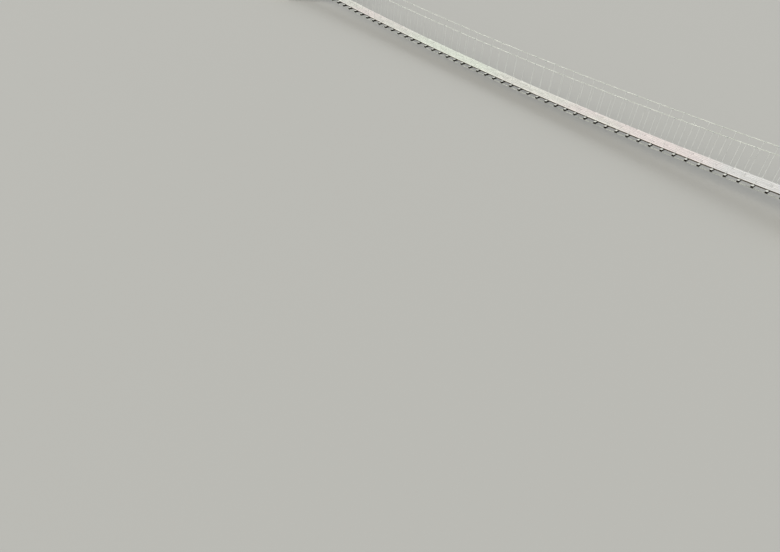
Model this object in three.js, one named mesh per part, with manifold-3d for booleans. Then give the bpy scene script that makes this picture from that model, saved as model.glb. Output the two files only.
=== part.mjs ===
// Suspended footbridge: a narrow boarded walkway on two walkway cables, with two hand cables above its
// edges, a hanger rod at every crossbeam, and a concrete abutment with two posts at each end.
// Millimetres, +Z up. X runs along the bridge and Y across it. The ground is at Z = 0, and the origin
// is on it, halfway between the ends. "near" is the -Y side, "far" the +Y side, "left" the -X end.

import * as THREE from "three";
import { mergeVertices } from "three/addons/utils/BufferGeometryUtils.js";
import Module from "manifold-3d";

const wasm = await Module();
wasm.setup();

// Span
const bayLength = 500;
const bayCount = 60;
const baysInSection = 6;
const sag = 480;
const endLevel = 1200; // top of the walkway where it meets an abutment
const deckJoint = 10; // open joint between the walkway and an abutment
const seatGap = 0.3; // clearance kept between touching pieces

// Walkway
const deckWidth = 700;
const boardThickness = 40;
const beamWidth = 90;
const beamDepth = 80;
const beamLength = 960;
const stringerWidth = 40;
const stringerDepth = 66;
const stringerDrop = 12; // stringer top below the beam top
const stringerOffset = 180;

// Cables and hangers
const cableDiameter = 26;
const cableSides = 8;
const walkwayCableOffset = 435;
const cableSeat = 0.6; // beam underside to cable, leaves room for the cable's short straight steps
const handCableOffset = 375;
const handCableHeight = 1250;
const hangerDiameter = 12;
const hangerSides = 6;

// Abutment
const abutmentLength = 1800;
const abutmentWidth = 1600;
const footingHeight = 300;
const footingSpread = 150;
const thresholdLength = 100;
const thresholdLap = 50;
const thresholdThickness = 8;

// End posts and saddles
const postSetback = 160; // post centre behind the abutment face
const postWidth = 100;
const basePlateWidth = 200;
const basePlateThickness = 20;
const capPlateWidth = 150;
const capPlateThickness = 12;
const saddleLength = 150;
const saddleWidth = 70;
const saddleDepth = 105; // cable centre at the crown down to the post
const saddleRadius = 160; // cable centreline over the saddle
const saddleSteps = 8;
const backstayAngle = THREE.MathUtils.degToRad(38);

// Cable anchors
const socketDiameter = 60;
const socketSides = 12;
const socketLength = 180;
const handPinHeight = 100;
const handPlateLength = 260;
const handPlateWidth = 160;
const anchorPlateThickness = 20;
const lugThickness = 30;
const lugLength = 110;
const lugHeight = 140;
const facePlateWidth = 180;

// Worked out
const span = bayLength * bayCount;
const faceX = span / 2 + deckJoint;
const postX = faceX + postSetback;
const beamTopDrop = boardThickness + seatGap;
const beamBottomDrop = beamTopDrop + beamDepth;
const walkwayCableDrop = beamBottomDrop + cableSeat + cableDiameter / 2;

const boardTimber = new THREE.MeshStandardMaterial({ color: "#d8d5ce", roughness: 0.85, metalness: 0 });
const beamTimber = new THREE.MeshStandardMaterial({ color: "#8f8a80", roughness: 0.9, metalness: 0 });
const galvanised = new THREE.MeshStandardMaterial({ color: "#aab0ad", roughness: 0.5, metalness: 0.8 });
const wireRope = new THREE.MeshStandardMaterial({ color: "#a3aaa2", roughness: 0.55, metalness: 0.8 });
const concrete = new THREE.MeshStandardMaterial({ color: "#b9b6ae", roughness: 0.95, metalness: 0 });

// The walkway hangs in a parabola, lowest at mid-span.
function deckLevel(x) {
  return endLevel - sag * (1 - (2 * x / span) ** 2);
}

function deckSlope(x) {
  return 8 * sag * x / span ** 2;
}

// A run through given stations that meets them one after another at even steps of its parameter.
class Route extends THREE.Curve {
  constructor(stations) {
    super();
    this.stations = stations;
  }

  getPoint(t, target = new THREE.Vector3()) {
    const last = this.stations.length - 1;
    const place = t * last;
    const index = Math.min(Math.floor(place + 1e-6), last - 1);
    return target.lerpVectors(this.stations[index], this.stations[index + 1], place - index);
  }

  getPointAt(u, target) {
    return this.getPoint(u, target);
  }

  getTangentAt(u, target = new THREE.Vector3()) {
    const last = this.stations.length - 1;
    const index = Math.round(u * last);
    target.set(0, 0, 0);
    if (index > 0) {
      target.add(this.stations[index].clone().sub(this.stations[index - 1]).normalize());
    }
    if (index < last) {
      target.add(this.stations[index + 1].clone().sub(this.stations[index]).normalize());
    }
    return target.normalize();
  }
}

// A closed prism of regular section along a route; the diameter is measured across its flats.
function rodAlong(stations, diameter, sides) {
  const radius = diameter / 2 / Math.cos(Math.PI / sides);
  const corners = [];
  for (let i = 0; i < sides; i += 1) {
    const angle = (i + 0.5) * 2 * Math.PI / sides;
    corners.push(new THREE.Vector2(radius * Math.cos(angle), radius * Math.sin(angle)));
  }
  return new THREE.ExtrudeGeometry(new THREE.Shape(corners), {
    extrudePath: new Route(stations),
    steps: stations.length - 1,
  });
}

// A side outline given as [x, z] pairs, made into a solid of the given width centred on y = 0.
function sidePrism(outline, width) {
  const shape = new THREE.Shape(outline.map(([x, z]) => new THREE.Vector2(x, z)));
  const geometry = new THREE.ExtrudeGeometry(shape, { depth: width, bevelEnabled: false });
  geometry.rotateX(Math.PI / 2);
  geometry.translate(0, width / 2, 0);
  return geometry;
}

function block(length, width, height, x, y, bottom) {
  const geometry = new THREE.BoxGeometry(length, width, height);
  geometry.translate(x, y, bottom + height / 2);
  return geometry;
}

function solidOf(geometry) {
  const bare = geometry.clone();
  bare.deleteAttribute("normal");
  bare.deleteAttribute("uv");
  const merged = mergeVertices(bare, 1e-3);
  return new wasm.Manifold(new wasm.Mesh({
    numProp: 3,
    vertProperties: new Float32Array(merged.attributes.position.array),
    triVerts: new Uint32Array(merged.index.array),
  }));
}

function geometryOf(solid) {
  const mesh = solid.getMesh();
  const geometry = new THREE.BufferGeometry();
  geometry.setAttribute("position", new THREE.BufferAttribute(new Float32Array(mesh.vertProperties), 3));
  geometry.setIndex(new THREE.BufferAttribute(new Uint32Array(mesh.triVerts), 1));
  geometry.computeVertexNormals();
  return geometry;
}

function joined(geometries) {
  const solids = geometries.map(solidOf);
  return geometryOf(solids.reduce((whole, solid) => whole.add(solid)));
}

function named(name, geometry, material) {
  const mesh = new THREE.Mesh(geometry, material);
  mesh.name = name;
  return mesh;
}

// The bay lines of one section, with half a seat gap trimmed off at its two ends.
function sectionLines(firstX) {
  const lines = [];
  for (let i = 0; i <= baysInSection; i += 1) {
    lines.push(firstX + i * bayLength);
  }
  lines[0] += seatGap / 2;
  lines[baysInSection] -= seatGap / 2;
  return lines;
}

// A prism that follows the sag through one section in one straight step a bay, between two drops
// below the walkway's top.
function sectionPrism(firstX, topDrop, bottomDrop, width) {
  const lines = sectionLines(firstX);
  const underside = lines.map((x) => [x, deckLevel(x) - bottomDrop]);
  const top = lines.map((x) => [x, deckLevel(x) - topDrop]).reverse();
  return sidePrism([...underside, ...top], width);
}

// One crossbeam under the middle of a bay, square to the slope of the walkway there.
function crossbeamGeometry(x) {
  const geometry = new THREE.BoxGeometry(beamWidth, beamLength, beamDepth);
  geometry.translate(0, 0, -beamTopDrop - beamDepth / 2);
  geometry.rotateY(-Math.atan(deckSlope(x)));
  geometry.translate(x, 0, deckLevel(x));
  return geometry;
}

// A stringer runs through the crossbeams of one section.
function stringerGeometry(firstX, y) {
  const topDrop = beamTopDrop + stringerDrop;
  const geometry = sectionPrism(firstX, topDrop, topDrop + stringerDepth, stringerWidth);
  geometry.translate(0, y, 0);
  return geometry;
}

function floorFrameGeometry(firstX) {
  const pieces = [stringerGeometry(firstX, -stringerOffset), stringerGeometry(firstX, stringerOffset)];
  for (let i = 0; i < baysInSection; i += 1) {
    pieces.push(crossbeamGeometry(firstX + (i + 0.5) * bayLength));
  }
  return joined(pieces);
}

// The hand cable's centreline from mid-span to its right anchor: sag, saddle bend, straight backstay.
function handCableEnd() {
  const endTilt = Math.atan(deckSlope(span / 2));
  const crownX = postX - saddleRadius * Math.sin((backstayAngle - endTilt) / 2);
  const bendStartX = crownX - saddleRadius * Math.sin(endTilt);
  const bendCentreZ = deckLevel(bendStartX) + handCableHeight - saddleRadius * Math.cos(endTilt);
  const bend = [];
  for (let i = 0; i <= saddleSteps; i += 1) {
    const angle = -endTilt + (backstayAngle + endTilt) * i / saddleSteps;
    const x = crownX + saddleRadius * Math.sin(angle);
    bend.push(new THREE.Vector3(x, 0, bendCentreZ + saddleRadius * Math.cos(angle)));
  }
  const leave = bend[saddleSteps];
  const pinZ = endLevel + handPinHeight;
  const reach = (leave.z - pinZ) / Math.sin(backstayAngle);
  const down = new THREE.Vector3(Math.cos(backstayAngle), 0, -Math.sin(backstayAngle));
  const pin = leave.clone().addScaledVector(down, reach);
  const mouth = pin.clone().addScaledVector(down, -socketLength);
  return { bend, pin, mouth, crownZ: bendCentreZ + saddleRadius };
}

const handEnd = handCableEnd();

// Stations at the bay lines, from mid-span outwards.
function bayStations(dropFromDeck) {
  const stations = [];
  for (let i = 0; i < bayCount / 2; i += 1) {
    const x = i * bayLength;
    stations.push(new THREE.Vector3(x, 0, deckLevel(x) - dropFromDeck));
  }
  return stations;
}

// The whole run of a cable from its right half, which starts at mid-span.
function bothHalves(rightHalf) {
  const leftHalf = rightHalf.slice(1).map((point) => new THREE.Vector3(-point.x, point.y, point.z));
  return [...leftHalf.reverse(), ...rightHalf];
}

const handCableRun = bothHalves([...bayStations(-handCableHeight), ...handEnd.bend, handEnd.mouth]);

// A hand cable, end to end, with the hangers clamped to it.
function handCableGeometry() {
  const pieces = [rodAlong(handCableRun, cableDiameter, cableSides)];
  for (let i = 0; i < bayCount; i += 1) {
    const x = (i + 0.5) * bayLength - span / 2;
    const foot = deckLevel(x) - beamTopDrop + seatGap + Math.abs(deckSlope(x)) * hangerDiameter / 2;
    const head = deckLevel(x) + handCableHeight;
    const radius = hangerDiameter / 2;
    const hanger = new THREE.CylinderGeometry(radius, radius, head - foot, hangerSides);
    hanger.rotateX(Math.PI / 2);
    hanger.translate(x, 0, (head + foot) / 2);
    pieces.push(hanger);
  }
  return joined(pieces);
}

const walkwaySocketX = faceX - seatGap - anchorPlateThickness - socketLength;

function walkwayCableGeometry() {
  const tipX = walkwaySocketX - seatGap;
  const tip = new THREE.Vector3(tipX, 0, deckLevel(tipX) - walkwayCableDrop);
  const run = bothHalves([...bayStations(walkwayCableDrop), tip]);
  return rodAlong(run, cableDiameter, cableSides);
}

// The pieces of the right end, each built once about its own place on the bridge.
function abutmentGeometry() {
  const centreX = faceX + abutmentLength / 2;
  const footing = block(
    abutmentLength + 2 * footingSpread, abutmentWidth + 2 * footingSpread, footingHeight, centreX, 0, 0,
  );
  const stem = block(abutmentLength, abutmentWidth, endLevel, centreX, 0, 0);
  return joined([footing, stem]);
}

function thresholdGeometry() {
  const x = faceX - thresholdLap + thresholdLength / 2;
  return block(thresholdLength, deckWidth, thresholdThickness, x, 0, endLevel + seatGap);
}

const postTop = handEnd.crownZ - saddleDepth;

function postGeometry() {
  const bottom = endLevel + seatGap;
  const basePlate = block(basePlateWidth, basePlateWidth, basePlateThickness, postX, 0, bottom);
  const shaft = block(postWidth, postWidth, postTop - bottom, postX, 0, bottom);
  const capBottom = postTop - capPlateThickness;
  const capPlate = block(capPlateWidth, capPlateWidth, capPlateThickness, postX, 0, capBottom);
  return joined([basePlate, shaft, capPlate]);
}

// A cast saddle whose top follows the bend of the cable at its centreline, with the cable's groove cut in it.
function saddleGeometry() {
  const leftX = postX - saddleLength / 2;
  const rightX = postX + saddleLength / 2;
  const leave = handEnd.bend[saddleSteps];
  const rightZ = leave.z - (rightX - leave.x) * Math.tan(backstayAngle);
  const crest = handEnd.bend.map((point) => [point.x, point.z]).reverse();
  const bottom = postTop + seatGap;
  const entryZ = deckLevel(leftX) + handCableHeight;
  const outline = [[leftX, bottom], [rightX, bottom], [rightX, rightZ], ...crest, [leftX, entryZ]];
  const body = solidOf(sidePrism(outline, saddleWidth));
  const runOverSaddle = handCableRun.slice(-(saddleSteps + 3));
  const groove = solidOf(rodAlong(runOverSaddle, cableDiameter + 2 * seatGap, cableSides));
  return geometryOf(body.subtract(groove));
}

// Base plate, upright lug and the rope socket that points up the backstay.
function handAnchorGeometry() {
  const { pin, mouth } = handEnd;
  const bottom = endLevel + seatGap;
  const plate = block(handPlateLength, handPlateWidth, anchorPlateThickness, pin.x, 0, bottom);
  const lug = block(lugLength, lugThickness, lugHeight, pin.x, 0, bottom);
  const up = mouth.clone().sub(pin).normalize();
  const open = mouth.clone().addScaledVector(up, -seatGap);
  const socket = rodAlong([pin, open], socketDiameter, socketSides);
  return joined([plate, lug, socket]);
}

// Plate on the abutment face with the socket that holds the end of a walkway cable.
function walkwayAnchorGeometry() {
  const z = deckLevel(walkwaySocketX) - walkwayCableDrop;
  const slope = deckSlope(walkwaySocketX);
  const plateX = faceX - seatGap - anchorPlateThickness / 2;
  const plateZ = z + slope * (plateX - walkwaySocketX);
  const bottom = plateZ - facePlateWidth / 2;
  const plate = block(anchorPlateThickness, facePlateWidth, facePlateWidth, plateX, 0, bottom);
  const mouth = new THREE.Vector3(walkwaySocketX, 0, z);
  const root = new THREE.Vector3(plateX, 0, plateZ);
  return joined([plate, rodAlong([mouth, root], socketDiameter, socketSides)]);
}

const bridge = new THREE.Group();

const walkway = new THREE.Group();
for (let i = 0; i < bayCount / baysInSection; i += 1) {
  const firstX = i * baysInSection * bayLength - span / 2;
  const number = String(i + 1).padStart(2, "0");
  const boards = sectionPrism(firstX, 0, boardThickness, deckWidth);
  walkway.add(named(`floor_frame_${number}`, floorFrameGeometry(firstX), beamTimber));
  walkway.add(named(`deck_section_${number}`, boards, boardTimber));
}
bridge.add(walkway);

const handCable = handCableGeometry();
const walkwayCable = walkwayCableGeometry();
for (const [side, sign] of [["near", -1], ["far", 1]]) {
  const upper = named(`${side}_hand_cable`, handCable, wireRope);
  upper.position.y = sign * handCableOffset;
  const lower = named(`${side}_walkway_cable`, walkwayCable, wireRope);
  lower.position.y = sign * walkwayCableOffset;
  bridge.add(upper, lower);
}

// The left end is the right end turned half round, so near and far change places in it.
const ends = [{ end: "right", turn: 0, nearSign: -1 }, { end: "left", turn: Math.PI, nearSign: 1 }];
for (const { end, turn, nearSign } of ends) {
  const group = new THREE.Group();
  group.rotation.z = turn;
  group.add(named(`${end}_abutment`, abutmentGeometry(), concrete));
  group.add(named(`${end}_threshold_plate`, thresholdGeometry(), galvanised));
  for (const [side, sign] of [["near", nearSign], ["far", -nearSign]]) {
    const pieces = [
      ["post", postGeometry(), handCableOffset],
      ["saddle", saddleGeometry(), handCableOffset],
      ["hand_cable_anchor", handAnchorGeometry(), handCableOffset],
      ["walkway_cable_anchor", walkwayAnchorGeometry(), walkwayCableOffset],
    ];
    for (const [kind, geometry, offset] of pieces) {
      const piece = named(`${end}_${side}_${kind}`, geometry, galvanised);
      piece.position.y = sign * offset;
      group.add(piece);
    }
  }
  bridge.add(group);
}

export default bridge;
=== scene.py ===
"""Looks of the suspended footbridge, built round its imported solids.

Metres, +Z up. X runs along the bridge and Y across it. The ground is at Z = 0, and the origin is on it,
halfway between the ends. "near" is the -Y side, "far" the +Y side, "left" the -X end.
"""

from __future__ import annotations

import bisect
import logging
import math
import random
from collections.abc import Iterable
from dataclasses import dataclass, field
from enum import Enum

import bmesh
import bpy
from mathutils import Matrix, Vector


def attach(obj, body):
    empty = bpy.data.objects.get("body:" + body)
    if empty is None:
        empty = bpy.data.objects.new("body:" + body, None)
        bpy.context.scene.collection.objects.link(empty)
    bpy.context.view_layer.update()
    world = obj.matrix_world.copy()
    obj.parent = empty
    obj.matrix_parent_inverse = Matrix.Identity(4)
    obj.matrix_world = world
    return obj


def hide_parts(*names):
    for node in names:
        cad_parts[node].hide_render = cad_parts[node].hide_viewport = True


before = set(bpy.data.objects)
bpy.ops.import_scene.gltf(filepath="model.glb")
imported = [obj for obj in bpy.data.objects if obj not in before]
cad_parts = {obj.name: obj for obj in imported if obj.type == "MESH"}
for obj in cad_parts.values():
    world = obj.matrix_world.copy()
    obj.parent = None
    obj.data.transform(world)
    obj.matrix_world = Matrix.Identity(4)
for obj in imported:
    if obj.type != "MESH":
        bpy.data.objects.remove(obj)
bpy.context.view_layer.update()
LOG = logging.getLogger("footbridge")

Signal = bpy.types.NodeSocket
Mesh = bpy.types.Mesh
BMesh = bmesh.types.BMesh
Colour = tuple[float, float, float, float]
Size = tuple[float, float, float]
Pair = tuple[float, float]
Feeds = dict[str | int, object]

TIMBER_SPOT = "timber_spot"
TIMBER_TONE = "timber_tone"
ROPE_SPOT = "rope_spot"
STRAND_GROOVE = "strand_groove"
ROPE_DIAMETER = 0.026
BOTH_WAYS = (-1, 1)
# Corners nearer to each other than this are one corner.
SAME_SPOT = 1e-5
# Part of a direction along an axis from which it is taken to run along it.
ALIGNED = 0.99
# Steps of a rounded corner, and sides of washers, of slim rods and of pins.
CORNER_STEPS = 4
WASHER_SIDES = 12
ROD_SIDES = 8
PIN_SIDES = 12
# Degrees by which a surface turns at an arris that is softened, at one that is shown sharp, and where
# it counts as flat.
ARRIS_TURN = 40
SHARP_TURN = 32
FLAT_TURN = 0.5
# Thickness and radius of a washer, and width and height of a nut, for a bolt 1 m thick.
WASHER_THICKNESS = 0.15
WASHER_RADIUS = 1.05
NUT_WIDTH = 1.5
NUT_HEIGHT = 0.8
# Height at which a nut's corners start to be turned off, and its radius on top, as shares of the whole.
NUT_SHOULDER = 0.82
NUT_CROWN = 0.86
# Chamfer of a rod's end as a share of its radius.
ROD_CHAMFER = 0.3
# Run of log that the timbers are sawn from, and how far off the grain the saw goes in each metre.
LOG_RUN = 40.0
SAW_SLANT_Y = 0.015
SAW_SLANT_Z = 0.012


class Side(Enum):
    """The two long sides of the bridge, by the sign of their Y."""

    NEAR = -1
    FAR = 1


class End(Enum):
    """The two ends of the bridge, by the sign of their X."""

    LEFT = -1
    RIGHT = 1


class Slot(Enum):
    """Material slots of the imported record."""

    DECK = "deck_timber"
    BEAM = "crossbeam_timber"
    ROPE = "wire_rope"
    STEEL = "galvanised_steel"
    CONCRETE = "concrete"


class SteelSkin(Enum):
    """What lies under the zinc of a steel piece."""

    ROLLED = "rolled"
    CAST = "cast"


def at(x: float = 0.0, y: float = 0.0, z: float = 0.0) -> Matrix:
    """Gives the move from the origin to a point."""
    return Matrix.Translation((x, y, z))


def turn(axis: str, angle: float) -> Matrix:
    """Gives the turn about an axis by an angle in radians."""
    return Matrix.Rotation(angle, 4, axis)


@dataclass(frozen=True)
class Span:
    """The hang of the walkway and the lines that its pieces are set out from."""

    bay: float = 0.5
    bays: int = 60
    bays_in_section: int = 6
    sag: float = 0.48
    end_level: float = 1.2
    abutment_face: float = 15.01
    seat_gap: float = 0.0003
    deck_width: float = 0.70
    board_depth: float = 0.04
    beam_top_drop: float = 0.0403
    beam_depth: float = 0.08
    end_plate_depth: float = 0.005
    hand_rope_height: float = 1.25
    hand_rope_offset: float = 0.375
    walkway_rope_offset: float = 0.435
    walkway_rope_drop: float = 0.1339

    @property
    def half(self) -> float:
        """Half the span."""
        return self.bay * self.bays / 2

    @property
    def beam_base_drop(self) -> float:
        """Underside of a crossbeam below the top of the boards."""
        return self.beam_top_drop + self.beam_depth

    @property
    def plate_top(self) -> float:
        """Top of an end plate from the top of the boards, negative because it lies below it."""
        return self.end_plate_depth - self.beam_top_drop

    def level(self, x: float) -> float:
        """Height of the top of the boards at x."""
        return self.end_level - self.sag * (1 - (x / self.half) ** 2)

    def slope(self, x: float) -> float:
        """Rise of the boards for each metre along X at x."""
        return 2 * self.sag * x / self.half**2

    def tilt(self, x: float) -> Matrix:
        """Turn that lays a level piece to the slope of the boards at x."""
        return turn("Y", -math.atan(self.slope(x)))

    def over_boards(self, x: float, height: float) -> Vector:
        """Point on the centre line at a height over the boards, or below them if it is negative."""
        return Vector((x, 0.0, self.level(x) + height))

    def beam_line(self, index: int) -> float:
        """Middle of a crossbeam along X."""
        return (index + 0.5) * self.bay - self.half

    def beam_lines(self) -> list[float]:
        """Middles of all the crossbeams along X."""
        return [self.beam_line(index) for index in range(self.bays)]

    def beam_place(self, x: float) -> Matrix:
        """Place of a crossbeam, its origin on the top of the boards, square to their slope."""
        return at(x, 0.0, self.level(x)) @ self.tilt(x)

    def upright_place(self, x: float, y: float, height: float) -> Matrix:
        """Place of an upright piece at x and y, its origin at a height over the boards."""
        return at(x, y, self.level(x) + height)

    def node_names(self, stem: str) -> list[str]:
        """Names of the solids that repeat in each section of the walkway."""
        return [f"{stem}_{number:02d}" for number in range(1, self.bays // self.bays_in_section + 1)]


SPAN = Span()


def linear(hex_colour: str) -> Colour:
    """Turns an sRGB hex colour to the linear colour that the shaders read.

    Args:
        hex_colour: Colour such as "#D8D5CE".

    Returns:
        Red, green, blue and an alpha of 1.
    """
    shares = [int(hex_colour[place : place + 2], 16) / 255 for place in (1, 3, 5)]
    red, green, blue = (
        share / 12.92 if share <= 0.04045 else ((share + 0.055) / 1.055) ** 2.4 for share in shares
    )
    return red, green, blue, 1.0


def feed(node: bpy.types.Node, feeds: Feeds) -> None:
    """Links signals to a node's inputs, and sets plain values on the others.

    Args:
        node: The node.
        feeds: Signal or plain value for each input, by name or number.
    """
    for key, value in feeds.items():
        if isinstance(value, Signal):
            node.id_data.links.new(value, node.inputs[key])
        else:
            node.inputs[key].default_value = value


@dataclass(frozen=True)
class Layer:
    """A colour laid over others where a pattern says so.

    It begins to show where the pattern reaches start. At full it shows most, and most is how much.
    """

    colour: str
    pattern: Signal
    start: float
    full: float
    most: float = 1.0


@dataclass(frozen=True)
class Coat:
    """The nodes of one material, while its finish is drawn.

    Several inputs of a node can share a name, so these are given by number. MapRange takes its value as
    0, where it starts and stops as 1 and 2, and what those become as 3 and 4. Math takes its terms as
    0, 1 and 2. Mix takes the share of the upper colour as 0, and the lower and upper colour as 6 and 7.
    """

    tree: bpy.types.NodeTree

    def add(
        self, kind: str, feeds: Feeds | None = None, out: str | int = 0, **settings: object
    ) -> Signal:
        """Adds a node with its settings and what feeds it.

        Args:
            kind: Blender's name for the node type, without its first word.
            feeds: Signal or plain value for each input, by name or number.
            out: Name or number of the output that is wanted.
            settings: Properties of the node.

        Returns:
            The output.
        """
        node = self.tree.nodes.new(f"ShaderNode{kind}")
        for name, value in settings.items():
            setattr(node, name, value)
        feed(node, feeds or {})
        return node.outputs[out]

    def lay_over(self, base: Signal | Colour, *layers: Layer) -> Signal | Colour:
        """Lays colours one over another.

        Args:
            base: Colour that is there.
            layers: What goes over it, the lowest first.

        Returns:
            All the colours together.
        """
        for layer in layers:
            share = self.add("MapRange", {0: layer.pattern, 1: layer.start, 2: layer.full, 4: layer.most})
            base = self.add("Mix", {0: share, 6: base, 7: linear(layer.colour)}, 2, data_type="RGBA")
        return base

    def noise(self, place: Signal, size: Size, detail: float) -> Signal:
        """Draws noise whose blots have the given sizes.

        Args:
            place: Coordinates in metres.
            size: Length of a blot along X, Y and Z, in metres.
            detail: Finer layers of noise.

        Returns:
            The noise, from 0 to 1.
        """
        drawn = self.add("Mapping", {"Vector": place, "Scale": tuple(1 / length for length in size)})
        return self.add("TexNoise", {"Vector": drawn, "Scale": 1.0, "Detail": detail})

    def off_zero(self, vector: Signal, axis: int) -> Signal:
        """Gives how far one part of a vector is from 0, with 0, 1 or 2 for X, Y or Z."""
        part = self.add("SeparateXYZ", {0: vector}, axis)
        return self.add("Math", {0: part}, operation="ABSOLUTE")

    def bearing(self, spot: Signal) -> Signal:
        """Gives the angle about the X axis at which a spot lies.

        Args:
            spot: The spot, from a point on the axis.

        Returns:
            The angle in radians.
        """
        sideways = self.add("SeparateXYZ", {0: spot}, 1)
        upward = self.add("SeparateXYZ", {0: spot}, 2)
        return self.add("Math", {0: upward, 1: sideways}, operation="ARCTAN2")


@dataclass(frozen=True)
class Finish:
    """A material with the slot of the record that it answers to."""

    name: str
    slot: Slot

    def material(self) -> bpy.types.Material:
        """Gives the material, made the first time that it is asked for.

        Returns:
            The material.
        """
        found = bpy.data.materials.get(self.name)
        if found is None:
            found = bpy.data.materials.new(self.name)
            found.use_nodes = True
            feed(found.node_tree.nodes["Principled BSDF"], self.paint(Coat(found.node_tree)))
        return found

    def paint(self, coat: Coat) -> Feeds:
        """Draws the finish, and gives what feeds the shader's inputs."""
        raise NotImplementedError


@dataclass(frozen=True)
class SawnTimber(Finish):
    """Sawn hardwood, with yearly rings, knots, fibres and drying checks that follow each timber.

    The sun has bleached the faces that look up. Sides, ends and undersides, and what the boards
    cover, are dark with painted shade, so the colour turns on which way the face points.
    """

    bleached: str = "#F4F5ED"
    silvered: str = "#D5D6CF"
    blushed: str = "#EBDBDD"
    greened: str = "#E7F4E3"
    # Blue-grey painted shade, laid over one stretch of the walkway.
    painted_shade_grey: str = "#D8D7DE"
    ring_grey: str = "#AAA598"
    knot_brown: str = "#93887A"
    check_brown: str = "#5A5247"
    # Dark painted shade for sides, ends, undersides and what the boards cover, with paler streaks.
    painted_shade: str = "#3E3931"
    painted_shade_streak: str = "#5E574C"
    newer_stretch: Pair = (7.5, 9.9)
    damp_stretch: Pair = (-5.0, 0.4)
    # Where along X the blue-grey painted shade lies.
    painted_shade_stretch: Pair = (10.7, 16.0)
    stretch_fade: float = 1.5
    batch_size: Size = (3.2, 1.8, 1.8)
    gloss: float = 0.5
    # Distance from the centre line within which the boards cover a timber with painted shade, and how it
    # fades on each side of that.
    painted_shade_reach: float = 0.0
    painted_shade_reach_fade: Pair = (-0.015, 0.01)
    tread_wear: float = 0.0
    # Distance from the centre line at which the grey of the tread starts to show, and is full.
    tread_width: Pair = (0.27, 0.12)
    damp_line: float = 0.045
    # Upward part of a face's normal from which the sun reaches it, and from which it is bleached. Below the
    # first it is all painted shade.
    bleach_lean: Pair = (0.3, 0.6)
    ring_width: float = 0.0075
    ring_waver_size: Size = (0.8, 0.15, 0.15)
    knot_spacing: Size = (1.3, 0.55, 0.55)
    streak_size: Size = (0.9, 0.014, 0.014)
    # Real fibres are under 1 mm wide. They are drawn at 2.5 mm, so that the grain shows.
    fibre_size: Size = (0.10, 0.0025, 0.0025)
    check_size: Size = (0.30, 0.005, 0.02)
    split_size: Size = (0.16, 0.09, 0.09)

    def paint(self, coat: Coat) -> Feeds:
        """Draws the timber.

        Args:
            coat: Nodes of the material.

        Returns:
            What feeds the shader's inputs.
        """
        spot = coat.add("Attribute", None, "Vector", attribute_name=TIMBER_SPOT)
        tone = coat.add("Attribute", None, "Fac", attribute_name=TIMBER_TONE)
        here = coat.add("TexCoord", None, "Object")
        spread = coat.add("Mapping", {"Vector": spot, "Scale": tuple(1 / gap for gap in self.knot_spacing)})
        knot = coat.add("TexVoronoi", {"Vector": spread, "Scale": 1.0}, "Distance", voronoi_dimensions="2D")
        ring = self.rings(coat, spot, knot)
        streak = coat.noise(spot, self.streak_size, 4.0)
        fibre = coat.noise(spot, self.fibre_size, 3.0)
        check = coat.add("MapRange", {0: coat.noise(spot, self.check_size, 1.0), 1: 0.27, 2: 0.22})

        pale = coat.lay_over(
            linear(self.bleached),
            Layer(self.silvered, streak, 0.34, 0.68),
            Layer(self.silvered, tone, 0.0, 1.0, 0.65),
            *self.trodden(coat, here),
            Layer(self.greened, self.stretch(coat, here, self.damp_stretch), 0.0, 1.0, 0.45),
            # Blue-grey painted shade over one stretch of the walkway.
            Layer(self.painted_shade_grey, self.stretch(coat, here, self.painted_shade_stretch), 0.0, 1.0, 0.45),
            Layer(self.blushed, self.batches(coat, here), 0.52, 0.80, 0.6),
            Layer(self.ring_grey, ring, 0.45, 0.98, 0.32),
            Layer(self.ring_grey, fibre, 0.52, 0.75, 0.30),
            Layer(self.knot_brown, knot, 0.042, 0.022, 0.60),
            Layer(self.check_brown, knot, 0.010, 0.004, 0.60),
            Layer(self.check_brown, check, 0.0, 1.0, 0.75),
        )
        ridges = coat.add("Math", {0: ring, 1: 0.6, 2: fibre}, operation="MULTIPLY_ADD")
        height = coat.add("Math", {0: check, 1: -1.5, 2: ridges}, operation="MULTIPLY_ADD")
        return {
            "Base Color": self.with_painted_shade(coat, here, spot, streak, pale),
            "Roughness": coat.add("MapRange", {0: streak, 1: 0.3, 2: 0.7, 3: 0.78, 4: 0.92}),
            "Normal": coat.add("Bump", {"Strength": 0.5, "Distance": 0.0012, "Height": height}),
            "Specular IOR Level": self.gloss,
        }

    def rings(self, coat: Coat, spot: Signal, knot: Signal) -> Signal:
        """Draws the yearly rings about the heart of the log, which part round each knot.

        Args:
            coat: Nodes of the material.
            spot: Place in the log, from its heart.
            knot: Distance to the nearest knot.

        Returns:
            Growth of the year, rising from 0 to 1 in each ring.
        """
        flat = coat.add("Mapping", {"Vector": spot, "Scale": (0.0, 1.0, 1.0)})
        radius = coat.add("VectorMath", {0: flat}, "Value", operation="LENGTH")
        waver = coat.noise(spot, self.ring_waver_size, 2.0)
        wide = coat.add("Math", {0: waver, 1: 3.0}, operation="MULTIPLY")
        years = coat.add("Math", {0: radius, 1: 1 / self.ring_width, 2: wide}, operation="MULTIPLY_ADD")
        swirl = coat.add("MapRange", {0: knot, 1: 0.20, 2: 0.01, 4: 3.4}, interpolation_type="SMOOTHSTEP")
        parted = coat.add("Math", {0: years, 1: swirl}, operation="ADD")
        return coat.add("Math", {0: parted}, operation="FRACT")

    def batches(self, coat: Coat, here: Signal) -> Signal:
        """Draws how pink the timber is: in drifts, and most in the newer boards right of mid-span.

        Args:
            coat: Nodes of the material.
            here: Place in the bridge.

        Returns:
            The drifts, about 0.5 on average and higher in the newer boards.
        """
        drift = coat.noise(here, self.batch_size, 1.0)
        newer = self.stretch(coat, here, self.newer_stretch)
        return coat.add("Math", {0: newer, 1: 0.28, 2: drift}, operation="MULTIPLY_ADD")

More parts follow.
